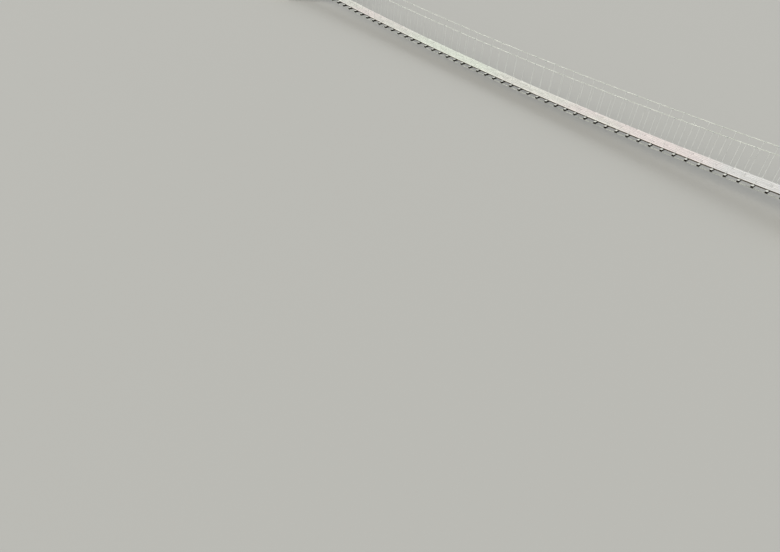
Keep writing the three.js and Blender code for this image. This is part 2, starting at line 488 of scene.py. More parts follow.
    def stretch(self, coat: Coat, here: Signal, ends: Pair) -> Signal:
        """Gives 1 along a stretch of the bridge, fading to 0 about each of its ends.

        Args:
            coat: Nodes of the material.
            here: Place in the bridge.
            ends: Where it starts and stops along X.

        Returns:
            The share.
        """
        start, stop = ends
        half = (stop - start) / 2
        along = coat.add("SeparateXYZ", {0: here}, 0)
        past = coat.add("Math", {0: along, 1: (start + stop) / 2}, operation="SUBTRACT")
        off = coat.add("Math", {0: past}, operation="ABSOLUTE")
        fade = self.stretch_fade / 2
        return coat.add("MapRange", {0: off, 1: half + fade, 2: half - fade})

    def trodden(self, coat: Coat, here: Signal) -> list[Layer]:
        """Greys the middle of the walkway, where feet go, and the damp line over each crossbeam.

        Args:
            coat: Nodes of the material.
            here: Place in the bridge.

        Returns:
            The layers, or none for a timber that isn't walked on.
        """
        if not self.tread_wear:
            return []
        half_bay = SPAN.bay / 2
        along = coat.add("SeparateXYZ", {0: here}, 0)
        to_beam = coat.add("Math", {0: along, 1: half_bay}, operation="PINGPONG")
        return [
            Layer(self.silvered, coat.off_zero(here, 1), *self.tread_width, self.tread_wear),
            Layer(self.ring_grey, to_beam, half_bay - self.damp_line, half_bay, 0.16),
        ]

    def with_painted_shade(self, coat: Coat, here: Signal, spot: Signal, streak: Signal, pale: Signal) -> Signal:
        """Leaves the bleached colour on open tops, and paints shade over the rest.

        Args:
            coat: Nodes of the material.
            here: Place in the bridge.
            spot: Place in the log.
            streak: Streaks along the timber.
            pale: Bleached colour.

        Returns:
            The colour of the whole timber.
        """
        start, full = self.bleach_lean
        facing = coat.add("NewGeometry", None, "Normal")
        upward = coat.add("SeparateXYZ", {0: facing}, 2)
        bleached_share = coat.add("MapRange", {0: upward, 1: start, 2: full})
        # Painted shade: the dark colour that stands in for shade on all but open tops.
        dark = coat.lay_over(linear(self.painted_shade), Layer(self.painted_shade_streak, streak, 0.45, 0.75))
        # Under the boards even the tops are given the painted shade.
        if self.painted_shade_reach:
            inner, outer = (self.painted_shade_reach + edge for edge in self.painted_shade_reach_fade)
            clear_of_boards = coat.add("MapRange", {0: coat.off_zero(here, 1), 1: inner, 2: outer})
            bleached_share = coat.add("Math", {0: bleached_share, 1: clear_of_boards}, operation="MULTIPLY")
            dark = coat.lay_over(dark, self.split_ends(coat, spot, facing))
        return coat.add("Mix", {0: bleached_share, 6: dark, 7: pale}, 2, data_type="RGBA")

    def split_ends(self, coat: Coat, spot: Signal, facing: Signal) -> Layer:
        """Draws the drying splits that run out from the heart on the sawn ends.

        Args:
            coat: Nodes of the material.
            spot: Place in the log.
            facing: Which way the face points.

        Returns:
            The splits.
        """
        sideways = coat.add("SeparateXYZ", {0: spot}, 1)
        upward = coat.add("SeparateXYZ", {0: spot}, 2)
        fan = coat.add("CombineXYZ", {0: coat.bearing(spot), 1: sideways, 2: upward})
        thin = coat.add("MapRange", {0: coat.noise(fan, self.split_size, 1.0), 1: 0.34, 2: 0.28})
        on_end = coat.add("MapRange", {0: coat.off_zero(facing, 1), 1: 0.85, 2: 0.95})
        share = coat.add("Math", {0: thin, 1: on_end}, operation="MULTIPLY")
        return Layer(self.check_brown, share, 0.0, 1.0, 0.8)


@dataclass(frozen=True)
class ZincSteel(Finish):
    """Hot-dip galvanised steel that has weathered, with zinc spangle and patches of white bloom."""

    skin: SteelSkin = SteelSkin.ROLLED
    zinc: str = "#A9AFAD"
    zinc_light: str = "#C0C5C2"
    bloom: str = "#D6D7D2"
    grime: str = "#6A665D"
    spangle: float = 0.012
    # Sand-cast grit is about 0.5 mm. It is drawn at 1.6 mm, so that a casting looks rougher.
    grit_size: Size = (0.0016, 0.0016, 0.0016)
    patch_size: Size = (0.08, 0.08, 0.11)
    run_size: Size = (0.024, 0.024, 0.40)
    dulled: float = 0.25

    def paint(self, coat: Coat) -> Feeds:
        """Draws the zinc.

        Args:
            coat: Nodes of the material.

        Returns:
            What feeds the shader's inputs.
        """
        here = coat.add("TexCoord", None, "Object")
        spangles = coat.add("TexVoronoi", {"Vector": here, "Scale": 1 / self.spangle}, "Color")
        crystal = coat.add("SeparateXYZ", {0: spangles})
        patch = coat.noise(here, self.patch_size, 5.0)
        run = coat.noise(here, self.run_size, 3.0)
        relief = {"Strength": 0.06, "Distance": 0.0003, "Height": crystal}
        if self.skin is SteelSkin.CAST:
            relief = {"Strength": 0.5, "Distance": 0.0006, "Height": coat.noise(here, self.grit_size, 2.0)}
        return {
            "Base Color": coat.lay_over(
                linear(self.zinc),
                Layer(self.zinc_light, crystal, 0.0, 1.0),
                Layer(self.bloom, patch, 0.46, 0.70, 0.75),
                Layer(self.grime, run, 0.57, 0.74, 0.40),
            ),
            "Metallic": coat.add("MapRange", {0: patch, 1: 0.46, 2: 0.72, 3: 1.0 - self.dulled, 4: 0.25}),
            "Roughness": coat.add("MapRange", {0: patch, 1: 0.35, 2: 0.70, 3: 0.42, 4: 0.66}),
            "Normal": coat.add("Bump", relief),
        }


@dataclass(frozen=True)
class StrandSteel(Finish):
    """Galvanised steel wire rope, dull on the crowns of its strands and darker with grease between them."""

    crown: str = "#D3D7D1"
    crown_dull: str = "#B3B9B2"
    groove: str = "#5C5B53"
    # The outer wires of a rope this thick are about 1.5 mm. They are drawn at 1.8 mm.
    wire: float = 0.0018
    patch_size: Size = (0.35, 0.02, 0.02)

    def paint(self, coat: Coat) -> Feeds:
        """Draws the rope's zinc, wires and grease.

        Args:
            coat: Nodes of the material.

        Returns:
            What feeds the shader's inputs.
        """
        laid = coat.add("Attribute", None, "Vector", attribute_name=ROPE_SPOT)
        depth = coat.add("Attribute", None, "Fac", attribute_name=STRAND_GROOVE)
        patch = coat.noise(laid, self.patch_size, 4.0)
        wires_round = float(round(math.pi * ROPE_DIAMETER / self.wire))
        turned_wires = coat.add("Math", {0: coat.bearing(laid), 1: wires_round}, operation="MULTIPLY")
        wire = coat.add("Math", {0: turned_wires}, operation="SINE")
        return {
            "Base Color": coat.lay_over(
                linear(self.crown),
                Layer(self.crown_dull, patch, 0.35, 0.65),
                Layer(self.groove, wire, -0.3, -1.0, 0.35),
                Layer(self.groove, depth, 0.45, 1.0, 0.85),
            ),
            "Metallic": coat.add("MapRange", {0: depth, 1: 0.4, 2: 1.0, 3: 0.6, 4: 0.1}),
            "Roughness": coat.add("MapRange", {0: patch, 1: 0.3, 2: 0.7, 3: 0.45, 4: 0.62}),
            "Normal": coat.add("Bump", {"Strength": 0.35, "Distance": 0.0005, "Height": wire}),
        }


@dataclass(frozen=True)
class CastConcrete(Finish):
    """Concrete cast against sawn boards: clouded grey, pitted, with dark runs below its top edge."""

    cement: str = "#C4C1B8"
    cloud: str = "#A8A59B"
    weathered: str = "#8F8C82"
    run: str = "#65625A"
    splash: str = "#8D846F"
    board_width: float = 0.12
    pit_spacing: float = 0.018
    run_reach: float = 0.8
    splash_reach: float = 0.35
    cloud_size: Size = (0.45, 0.45, 0.35)
    dust_size: Size = (0.16, 0.16, 0.16)
    run_size: Size = (0.10, 0.10, 1.6)
    grain_size: Size = (0.5, 0.5, 0.006)
    # Sand in a cement skin is about 1 mm. It is drawn at 2.5 mm, so that the skin looks gritty.
    sand_size: Size = (0.0025, 0.0025, 0.0025)

    def paint(self, coat: Coat) -> Feeds:
        """Draws the concrete.

        Args:
            coat: Nodes of the material.

        Returns:
            What feeds the shader's inputs.
        """
        here = coat.add("TexCoord", None, "Object")
        height = coat.add("SeparateXYZ", {0: here}, 2)
        lean = coat.add("SeparateXYZ", {0: coat.add("NewGeometry", None, "Normal")}, 2)
        upward = coat.add("MapRange", {0: lean, 1: 0.5, 2: 0.9})
        upright = coat.add("Math", {0: 1.0, 1: upward}, operation="SUBTRACT")
        cloud = coat.noise(here, self.cloud_size, 6.0)
        dust = coat.noise(here, self.dust_size, 8.0)
        run = coat.noise(here, self.run_size, 5.0)
        sand = coat.noise(here, self.sand_size, 2.0)

        board = coat.add("Math", {0: height, 1: 1 / self.board_width}, operation="MULTIPLY")
        board_number = coat.add("Math", {0: board}, operation="FLOOR")
        board_step = coat.add("TexWhiteNoise", {"W": board_number}, noise_dimensions="1D")
        to_middle = coat.add("Math", {0: board, 1: 0.5}, operation="PINGPONG")
        seam = coat.add("MapRange", {0: to_middle, 1: 0.035, 2: 0.0})
        seam = coat.add("Math", {0: seam, 1: upright}, operation="MULTIPLY")

        top = SPAN.end_level
        near_top = coat.add("MapRange", {0: height, 1: top - self.run_reach, 2: top})
        run_here = coat.add("Math", {0: near_top, 1: upright}, operation="MULTIPLY")
        run_share = coat.add("MapRange", {0: run, 1: 0.50, 2: 0.68})
        run_share = coat.add("Math", {0: run_share, 1: run_here}, operation="MULTIPLY")
        low = coat.add("MapRange", {0: height, 1: self.splash_reach, 2: 0.0})
        dusty = coat.add("Math", {0: dust, 1: upward}, operation="MULTIPLY")
        relief = self.relief(coat, here, board_step, seam, sand)
        return {
            "Base Color": coat.lay_over(
                linear(self.cement),
                Layer(self.cloud, cloud, 0.30, 0.70),
                Layer(self.cloud, board_step, 0.0, 1.0, 0.45),
                Layer(self.weathered, dusty, 0.44, 0.70, 0.7),
                Layer(self.run, run_share, 0.0, 1.0, 0.62),
                Layer(self.run, seam, 0.3, 1.0, 0.30),
                Layer(self.splash, low, 0.0, 1.0, 0.5),
                Layer(self.weathered, sand, 0.52, 0.72, 0.35),
            ),
            "Roughness": coat.add("MapRange", {0: cloud, 1: 0.3, 2: 0.7, 3: 0.82, 4: 0.95}),
            "Normal": coat.add("Bump", {"Strength": 0.6, "Distance": 0.0016, "Height": relief}),
        }

    def relief(self, coat: Coat, here: Signal, board_step: Signal, seam: Signal, sand: Signal) -> Signal:
        """Adds up the print of the boards, the fins at their seams, the sand and the air pits.

        Args:
            coat: Nodes of the material.
            here: Place in the bridge.
            board_step: How far each board stood out from its neighbours.
            seam: Seams between the boards.
            sand: Grain of the cement skin.

        Returns:
            The height.
        """
        grain = coat.noise(here, self.grain_size, 3.0)
        cell = {"Vector": here, "Scale": 1 / self.pit_spacing}
        near_pit = coat.add("MapRange", {0: coat.add("TexVoronoi", cell, "Distance"), 1: 0.15, 2: 0.09})
        lot = coat.add("SeparateXYZ", {0: coat.add("TexVoronoi", cell, "Color")})
        chosen = coat.add("Math", {0: lot, 1: 0.8}, operation="GREATER_THAN")
        pit = coat.add("Math", {0: near_pit, 1: chosen}, operation="MULTIPLY")
        height = board_step
        for part, share in ((grain, 0.8), (seam, 0.8), (sand, 0.35), (pit, -1.5)):
            height = coat.add("Math", {0: part, 1: share, 2: height}, operation="MULTIPLY_ADD")
        return height


# Bleached sawn hardwood: pale and dry, with grey rings, and greyer where feet go.
TREAD_TIMBER = SawnTimber("sun_bleached_tread_boards", Slot.DECK, tread_wear=0.4)
# The same timber along the edges, a little paler.
EDGE_TIMBER = SawnTimber("sun_bleached_edge_boards", Slot.DECK, bleached="#F8F8F1", silvered="#DDDDD6")
# Sawn hardwood: bleached on its open tops, with near-black painted shade on its sides, ends, undersides and
# under the boards.
BEAM_TIMBER = SawnTimber(
    "tarred_sawn_crossbeams",
    Slot.BEAM,
    bleached="#F3F0E5",
    silvered="#DCD9CE",
    blushed="#E2DDD2",
    painted_shade="#110F0C",
    painted_shade_streak="#1E1A15",
    gloss=0.15,
    painted_shade_reach=SPAN.deck_width / 2,
    ring_width=0.005,
)
# Dull zinc on rolled sections and plates.
ROLLED_ZINC = ZincSteel("hot_dip_galvanised_rolled_steel", Slot.STEEL)
# The same zinc over sand-cast steel, rougher to the eye.
CAST_ZINC = ZincSteel("hot_dip_galvanised_cast_steel", Slot.STEEL, skin=SteelSkin.CAST, zinc="#9FA5A3")
# Zinc-plated rods, clamps and U-bolts, brighter than the rest.
BRIGHT_ZINC = ZincSteel(
    "zinc_plated_fixings", Slot.STEEL, zinc="#C4C9C6", zinc_light="#D6DAD7", spangle=0.006, dulled=0.5
)
# Zinc plates gone white with bloom, the palest thing on the bridge.
PLATE_ZINC = ZincSteel(
    "white_bloomed_zinc_plates",
    Slot.STEEL,
    zinc="#D9DCD7",
    zinc_light="#E8EAE5",
    bloom="#F1F2EE",
    spangle=0.008,
    dulled=0.8,
)
# Screw heads browned by the wet timber round them.
SCREW_ZINC = ZincSteel("weathered_screws", Slot.STEEL, zinc="#8F8A80", zinc_light="#A39E94", spangle=0.004)
# Six-strand wire rope with its outer wires showing, dull zinc on their crowns.
HAND_ROPE_STEEL = StrandSteel("galvanised_wire_rope", Slot.ROPE)
# The same rope under the walkway, where drips and grease have darkened it.
WALKWAY_ROPE_STEEL = StrandSteel("greased_wire_rope", Slot.ROPE, crown="#B6BAB3", crown_dull="#969B93")
# Grey cement skin with the print of the boards that it was cast against.
ABUTMENT_CONCRETE = CastConcrete("board_marked_concrete", Slot.CONCRETE)


def as_mesh(bm: BMesh) -> Mesh:
    """Closes a bmesh into a plain mesh that can be stamped into pieces.

    Args:
        bm: The bmesh, which is used up.

    Returns:
        The mesh.
    """
    mesh = bpy.data.meshes.new("shape")
    bm.to_mesh(mesh)
    bm.free()
    return mesh


def opened(mesh: Mesh) -> BMesh:
    """Opens a copy of a mesh to be worked on.

    Args:
        mesh: The mesh, which stays as it is.

    Returns:
        The bmesh.
    """
    bm = bmesh.new()
    bm.from_mesh(mesh)
    return bm


def sharp_edges(bm: BMesh, degrees: float) -> list[bmesh.types.BMEdge]:
    """Lists the edges where the surface turns by more than an angle."""
    return [edge for edge in bm.edges if edge.calc_face_angle(0.0) > math.radians(degrees)]


def soften(bm: BMesh, edges: Iterable[bmesh.types.BMEdge], width: float, segments: int) -> None:
    """Bevels the given edges.

    Args:
        bm: The bmesh.
        edges: The edges.
        width: How far the bevel takes off on each side of an edge.
        segments: Steps of the bevel.
    """
    bmesh.ops.bevel(
        bm,
        geom=list(edges),
        offset=width,
        offset_type="OFFSET",
        segments=segments,
        profile=0.5,
        affect="EDGES",
        clamp_overlap=True,
        material=-1,
    )


def cut_across(bm: BMesh, point: Vector, normal: Vector) -> None:
    """Cuts every edge and face that a plane crosses."""
    bmesh.ops.bisect_plane(bm, geom=bm.verts[:] + bm.edges[:] + bm.faces[:], plane_co=point, plane_no=normal)


def sweep(
    bm: BMesh,
    axis: Size,
    angle: float,
    steps: int,
    centre: Size = (0.0, 0.0, 0.0),
    advance: Size = (0.0, 0.0, 0.0),
) -> None:
    """Sweeps all that is in a bmesh round an axis.

    Args:
        bm: The bmesh.
        axis: Direction of the axis.
        angle: Whole angle, in radians.
        steps: Steps that make it.
        centre: A point on the axis.
        advance: Move with each step, as along a screw. Without one a full turn is joined up.
    """
    bmesh.ops.spin(
        bm,
        geom=bm.verts[:] + bm.edges[:],
        cent=centre,
        axis=axis,
        dvec=advance,
        angle=angle,
        steps=steps,
        use_merge=angle == math.tau and not any(advance),
        use_duplicate=False,
    )


def seal(bm: BMesh) -> None:
    """Merges the corners that meet, fills open ends and turns all the faces outwards.

    Args:
        bm: The bmesh.
    """
    bmesh.ops.remove_doubles(bm, verts=bm.verts[:], dist=SAME_SPOT)
    bmesh.ops.holes_fill(bm, edges=[edge for edge in bm.edges if edge.is_boundary], sides=0)
    bmesh.ops.recalc_face_normals(bm, faces=bm.faces[:])


def cuboid(
    size: Size,
    arris: float = 0.0,
    segments: int = 1,
    corner: float = 0.0,
    corner_axis: int = 2,
) -> Mesh:
    """Makes a cuboid about the origin, with rounded corners along one axis and a softened arris.

    Args:
        size: Length, width and height.
        arris: Width of the softening of every edge.
        segments: Steps of that softening.
        corner: Radius of the four edges that run along corner_axis, or 0 for none.
        corner_axis: 0, 1 or 2 for X, Y or Z.

    Returns:
        The shape.
    """
    bm = bmesh.new()
    bmesh.ops.scale(bm, vec=size, verts=bmesh.ops.create_cube(bm, size=1.0)["verts"])
    if corner:
        runs = {edge: (edge.verts[0].co - edge.verts[1].co).normalized() for edge in bm.edges}
        along = [edge for edge, run in runs.items() if abs(run[corner_axis]) > ALIGNED]
        soften(bm, along, corner, CORNER_STEPS)
    if arris:
        soften(bm, sharp_edges(bm, ARRIS_TURN), arris, segments)
    return as_mesh(bm)


def turned(outline: Iterable[Pair], sides: int) -> Mesh:
    """Turns an outline about the Z axis, as on a lathe.

    Args:
        outline: Radius and height of each point, from the axis out and back to the axis.
        sides: Sides of the turned shape.

    Returns:
        The closed shape.
    """
    bm = bmesh.new()
    points = [bm.verts.new((radius, 0.0, height)) for radius, height in outline]
    for pair in zip(points, points[1:]):
        bm.edges.new(pair)
    sweep(bm, (0.0, 0.0, 1.0), math.tau, sides)
    seal(bm)
    return as_mesh(bm)


def prism(outline: Iterable[Pair], width: float) -> Mesh:
    """Pushes a side outline out to a width, centred on Y = 0.

    Args:
        outline: X and Z of each corner.
        width: Width along Y.

    Returns:
        The closed shape.
    """
    bm = bmesh.new()
    side = bm.faces.new([bm.verts.new((x, -width / 2, z)) for x, z in outline])
    pushed = bmesh.ops.extrude_face_region(bm, geom=[side])["geom"]
    moved = [item for item in pushed if isinstance(item, bmesh.types.BMVert)]
    bmesh.ops.translate(bm, vec=(0.0, width, 0.0), verts=moved)
    bmesh.ops.recalc_face_normals(bm, faces=bm.faces[:])
    return as_mesh(bm)


def nut(across_flats: float, height: float) -> Mesh:
    """Makes a hexagonal nut that stands on Z = 0, with its top corners turned off.

    Args:
        across_flats: Width from one side to the opposite one.
        height: Its height.

    Returns:
        The shape.
    """
    corner = across_flats / math.sqrt(3)
    rim = [(corner, 0.0), (corner, NUT_SHOULDER * height), (NUT_CROWN * corner, height)]
    return turned([(0.0, 0.0), *rim, (0.0, height)], 6)


def disc(radius: float, height: float) -> Mesh:
    """Makes a washer that stands on Z = 0."""
    return turned([(0.0, 0.0), (radius, 0.0), (radius, height), (0.0, height)], WASHER_SIDES)


def rod(radius: float, bottom: float, top: float, sides: int = ROD_SIDES) -> Mesh:
    """Makes an upright round bar with chamfered ends.

    Args:
        radius: Its radius.
        bottom: Z of its lower end.
        top: Z of its upper end.
        sides: Sides of the bar.

    Returns:
        The shape.
    """
    lip = ROD_CHAMFER * radius
    foot = [(0.0, bottom), (radius - lip, bottom), (radius, bottom + lip)]
    return turned([*foot, (radius, top - lip), (radius - lip, top), (0.0, top)], sides)


def mark_timber(bm: BMesh, along: Vector, heart: Vector, chance: random.Random) -> None:
    """Notes on each corner of a straight timber where it lay in its log, and gives the timber a tone.

    Args:
        bm: The timber, before it is bent.
        along: Direction of its grain.
        heart: Start along the log, and how far its heart lies from the timber's middle.
        chance: Source of the timber's slant in the log and of its tone.
    """
    slant_y = chance.uniform(-SAW_SLANT_Y, SAW_SLANT_Y)
    slant_z = chance.uniform(-SAW_SLANT_Z, SAW_SLANT_Z)
    tone = chance.random()
    spot = bm.verts.layers.float_vector.new(TIMBER_SPOT)
    mark = bm.verts.layers.float.new(TIMBER_TONE)
    middle = sum((vert.co for vert in bm.verts), Vector()) / len(bm.verts)
    for vert in bm.verts:
        place = vert.co - middle
        run = place.dot(along)
        across = place.x + place.y - run
        vert[spot] = heart + Vector((run, across + slant_y * run, place.z + slant_z * run))
        vert[mark] = tone


def drawn_heart(chance: random.Random, across: Pair, up: Pair) -> Vector:
    """Draws where a timber starts along the log, and how far the log's heart is from its middle."""
    return Vector((chance.uniform(0.0, LOG_RUN), chance.uniform(*across), chance.uniform(*up)))


def stand(name: str, data: bpy.types.ID) -> bpy.types.Object:
    """Puts a mesh, a camera or a lamp into the scene.

    Args:
        name: Name of the object.
        data: What it shows.

    Returns:
        The object.
    """
    item = bpy.data.objects.new(name, data)
    bpy.context.scene.collection.objects.link(item)
    return item


class Weldment:
    """Shapes gathered into the mesh of one piece."""

    def __init__(self) -> None:
        """Starts with nothing in it."""
        self.bm = bmesh.new()

    def stamp(self, shape: Mesh, *places: Matrix) -> None:
        """Adds a copy of a shape at each place.

        Args:
            shape: The shape, which stays as it is.
            places: Turn and move that take it to each place. Without any it stays about the origin.
        """
        for place in places or (Matrix(),):
            copy = shape.copy()
            copy.transform(place)
            self.bm.from_mesh(copy)
            bpy.data.meshes.remove(copy)

    def shape(self) -> Mesh:
        """Closes the weldment into one shape."""
        return as_mesh(self.bm)

    def show(self, name: str, finish: Finish, stands_for: Iterable[str] = ()) -> None:
        """Makes the piece, and sets it riding with the bridge.

        Args:
            name: Name of the piece.
            finish: Its finish.
            stands_for: Solids that it is shown in place of.
        """
        mesh = self.shape()
        mesh.name = name
        mesh.materials.append(finish.material())
        mesh.shade_smooth()
        mesh.set_sharp_from_angle(angle=math.radians(SHARP_TURN))
        piece = stand(name, mesh)
        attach(piece, "root")
        replaced = list(stands_for)
        if replaced:
            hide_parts(*replaced)
        LOG.info("%s: %d faces, for %s", name, len(mesh.polygons), ", ".join(replaced) or "no solid")


def fixing(thread: float, proud: float, washer: float = 0.0) -> Mesh:
    """Makes a washer, a nut and the end of a bolt, standing on Z = 0.

    Args:
        thread: Diameter of the bolt.
        proud: Height of the bolt's end.
        washer: Radius of the washer, or 0 for the usual one.

    Returns:
        The shape.
    """
    thickness = WASHER_THICKNESS * thread
    parts = Weldment()
    parts.stamp(disc(washer or WASHER_RADIUS * thread, thickness))
    parts.stamp(nut(NUT_WIDTH * thread, NUT_HEIGHT * thread), at(z=thickness))
    parts.stamp(rod(thread / 2, 0.0, proud))
    return parts.shape()


def crossings(xs: Iterable[float], ys: Iterable[float], z: float = 0.0) -> list[Matrix]:
    """Lists the moves to the crossings of a grid at one height."""
    return [at(x, y, z) for x in xs for y in ys]


class Route:
    """Centreline of a rope in the XZ plane, met by its length from the left end."""

    def __init__(self, right_half: list[Vector]) -> None:
        """Measures a line that is the same on both sides of mid-span.

        Args:
            right_half: Its points from mid-span to its right end.
        """
        left_half = [Vector((-point.x, 0.0, point.z)) for point in right_half[1:]]
        self.points = [*reversed(left_half), *right_half]
        self.reached = [0.0]
        for before, after in zip(self.points, self.points[1:]):
            self.reached.append(self.reached[-1] + (after - before).length)
        befores = [self.points[0], *self.points[:-1]]
        afters = [*self.points[1:], self.points[-1]]
        self.headings = [(after - before).normalized() for before, after in zip(befores, afters)]

    @property
    def length(self) -> float:
        """Length from end to end."""
        return self.reached[-1]

    def carry(self, spot: Vector) -> Vector:
        """Moves a point of a rope laid straight along X to its place on the route.

        Args:
            spot: The point, its X measured from the left end of the rope.

        Returns:
            Its place in the bridge.
        """
        index = min(max(bisect.bisect_right(self.reached, spot.x) - 1, 0), len(self.points) - 2)
        share = (spot.x - self.reached[index]) / (self.reached[index + 1] - self.reached[index])
        heading = self.headings[index].lerp(self.headings[index + 1], share).normalized()
        centre = self.points[index].lerp(self.points[index + 1], share)
        return centre + Vector((-heading.z * spot.z, spot.y, heading.x * spot.z))


@dataclass(frozen=True)
class WireRope:
    """A six-strand wire rope, laid straight and then bent to its route."""

    strands: int = 6
    sides_in_strand: int = 3
    lay: float = 0.26
    steps: int = 12
    groove_depth: float = 0.2

    def lay_along(self, route: Route, offset: float) -> Weldment:
        """Lays a rope on a route at an offset across the bridge.

        Args:
            route: Its centreline.
            offset: Y of the rope.

        Returns:
            The rope's mesh, ready to show.
        """
        turns = round(route.length / self.lay)
        step = route.length / turns
        rope = Weldment()
        rope.stamp(self.one_lay(step), *(at(number * step) for number in range(turns)))
        bm = rope.bm
        seal(bm)
        laid = bm.verts.layers.float_vector.new(ROPE_SPOT)
        for vert in bm.verts:
            vert[laid] = vert.co
            vert.co = route.carry(vert.co)
        bmesh.ops.translate(bm, vec=(0.0, offset, 0.0), verts=bm.verts[:])
        return rope

    def one_lay(self, length: float) -> Mesh:
        """Makes one full turn of the strands, from X = 0 to the given length.

        Args:
            length: Length of the turn.

        Returns:
            The shape, open at both ends.
        """
        bm = bmesh.new()
        depth = bm.verts.layers.float.new(STRAND_GROOVE)
        sides = self.sides_in_strand * self.strands
        ring = bmesh.ops.create_circle(bm, segments=sides, radius=ROPE_DIAMETER / 2)["verts"]
        bmesh.ops.rotate(bm, verts=ring, matrix=Matrix.Rotation(math.pi / 2, 3, "Y"))
        grooves = ring[:: self.sides_in_strand]
        bmesh.ops.scale(bm, vec=(1.0, 1.0 - self.groove_depth, 1.0 - self.groove_depth), verts=grooves)
        for vert in grooves:
            vert[depth] = 1.0
        sweep(bm, (1.0, 0.0, 0.0), math.tau, self.steps, advance=(length / self.steps, 0.0, 0.0))
        return as_mesh(bm)


@dataclass(frozen=True)
class RopeSocket:
    """The conical socket that holds each end of a rope."""

    length: float = 0.18
    radius: float = 0.03
    sides: int = 16
    # How far the rope is tucked into the mouth.
    tuck: float = 0.02

    def basket(self, jaw: float) -> Mesh:
        """Makes the socket upright, with its mouth at the top.

        Args:
            jaw: Height at which the socket's basket starts.

        Returns:
            The shape.
        """
        radius, top = self.radius, self.length
        bowl = [(0.0, jaw), (0.8 * radius, jaw), (radius, jaw + 0.006), (radius, jaw + 0.035)]
        neck = [(0.66 * radius, top - 0.02), (0.70 * radius, top - 0.012), (0.70 * radius, top - 0.002)]
        mouth = [(0.55 * radius, top - SPAN.seat_gap), (0.46 * radius, top - 0.004)]
        throat = [(0.44 * radius, top - 0.03), (0.0, top - 0.03)]
        return turned([*bowl, *neck, *mouth, *throat], self.sides)


SOCKET = RopeSocket()


@dataclass
class Boards:
    """The walkway's boards, each four bays long, with their joints staggered over crossbeams."""

    first_joints: tuple[int, ...] = (1, 3, 4, 2, 1)
    lane_gap: float = 0.005
    board_bays: int = 4
    butt_gap: float = 0.003
    arris: float = 0.004
    warp: float = 0.0012
    heart_across: Pair = (-0.06, 0.06)
    heart_up: Pair = (0.05, 0.16)
    screw_head: tuple[Pair, ...] = (
        (0.0, -0.003),
        (0.0052, -0.003),
        (0.0052, 0.0002),
        (0.0034, 0.0012),
        (0.0, 0.0012),
    )
    screw_sides: int = 8
    screw_spread: float = 0.042
    screw_setback: float = 0.016
    beam_hold: float = 0.01
    chance: random.Random = field(default_factory=lambda: random.Random(11))

    @property
    def lanes(self) -> int:
        """Number of boards side by side."""
        return len(self.first_joints)

    @property
    def lane_width(self) -> float:
        """Width of one board."""
        return (SPAN.deck_width - (self.lanes - 1) * self.lane_gap) / self.lanes

    def build(self) -> None:
        """Makes the tread boards, the edge boards and their screws."""
        treads, edges, screws = Weldment(), Weldment(), Weldment()
        head = turned(self.screw_head, self.screw_sides)
        for lane, first_joint in enumerate(self.first_joints):
            middle = -SPAN.deck_width / 2 + self.lane_width / 2 + lane * (self.lane_width + self.lane_gap)
            heap = edges if lane in (0, self.lanes - 1) else treads
            for start, stop in self.runs(first_joint):
                heap.stamp(self.board(start, stop), at(y=middle))
                screws.stamp(head, *self.screw_places(start, stop, middle))
        treads.show("tread_boards", TREAD_TIMBER, SPAN.node_names("deck_section"))
        edges.show("edge_boards", EDGE_TIMBER)
        screws.show("board_screws", SCREW_ZINC)

    def runs(self, first_joint: int) -> list[Pair]:
        """Lists where each board of a lane starts and stops.

        Args:
            first_joint: Number of the crossbeam with the lane's first joint.

        Returns:
            Start and stop along X, board by board.
        """
        joints = [SPAN.beam_line(index) for index in range(first_joint, SPAN.bays - 1, self.board_bays)]
        starts = [-SPAN.half, *(joint + self.butt_gap / 2 for joint in joints)]
        stops = [*(joint - self.butt_gap / 2 for joint in joints), SPAN.half]
        return list(zip(starts, stops))

    def board(self, start: float, stop: float) -> Mesh:
        """Makes one board, bent to the hang of the walkway, with its own tone and slight warp.

        Args:
            start: Where it starts along X.
            stop: Where it stops.

        Returns:
            The shape, its centreline on Y = 0.
        """
        length = stop - start
        bm = opened(cuboid((length, self.lane_width, SPAN.board_depth), self.arris, 2))
        bmesh.ops.translate(bm, vec=((start + stop) / 2, 0.0, -SPAN.board_depth / 2), verts=bm.verts[:])
        along = Vector((1.0, 0.0, 0.0))
        cuts = max(1, round(length / SPAN.bay))
        for cut in range(1, cuts):
            cut_across(bm, along * (start + length * cut / cuts), along)
        mark_timber(bm, along, drawn_heart(self.chance, self.heart_across, self.heart_up), self.chance)
        lift = self.chance.uniform(0.0, self.warp)
        roll = self.chance.uniform(-1.0, 1.0)
        for vert in bm.verts:
            twist = roll * self.warp * vert.co.y / self.lane_width
            vert.co.z += SPAN.level(vert.co.x) - lift + twist - self.warp / 2
        return as_mesh(bm)

    def screw_places(self, start: float, stop: float, middle: float) -> list[Matrix]:
        """Lists where the screws go, two at each crossbeam under a board.

        Args:
            start: Where the board starts along X.
            stop: Where it stops.
            middle: Y of the board's centreline.

        Returns:
            The places.
        """
        places = []
        for x in SPAN.beam_lines():
            if start - self.beam_hold < x < stop + self.beam_hold:
                spot = min(max(x, start + self.screw_setback), stop - self.screw_setback)
                for way in BOTH_WAYS:
                    across = middle + way * self.screw_spread
                    places.append(SPAN.upright_place(spot, across, -self.warp))
        return places


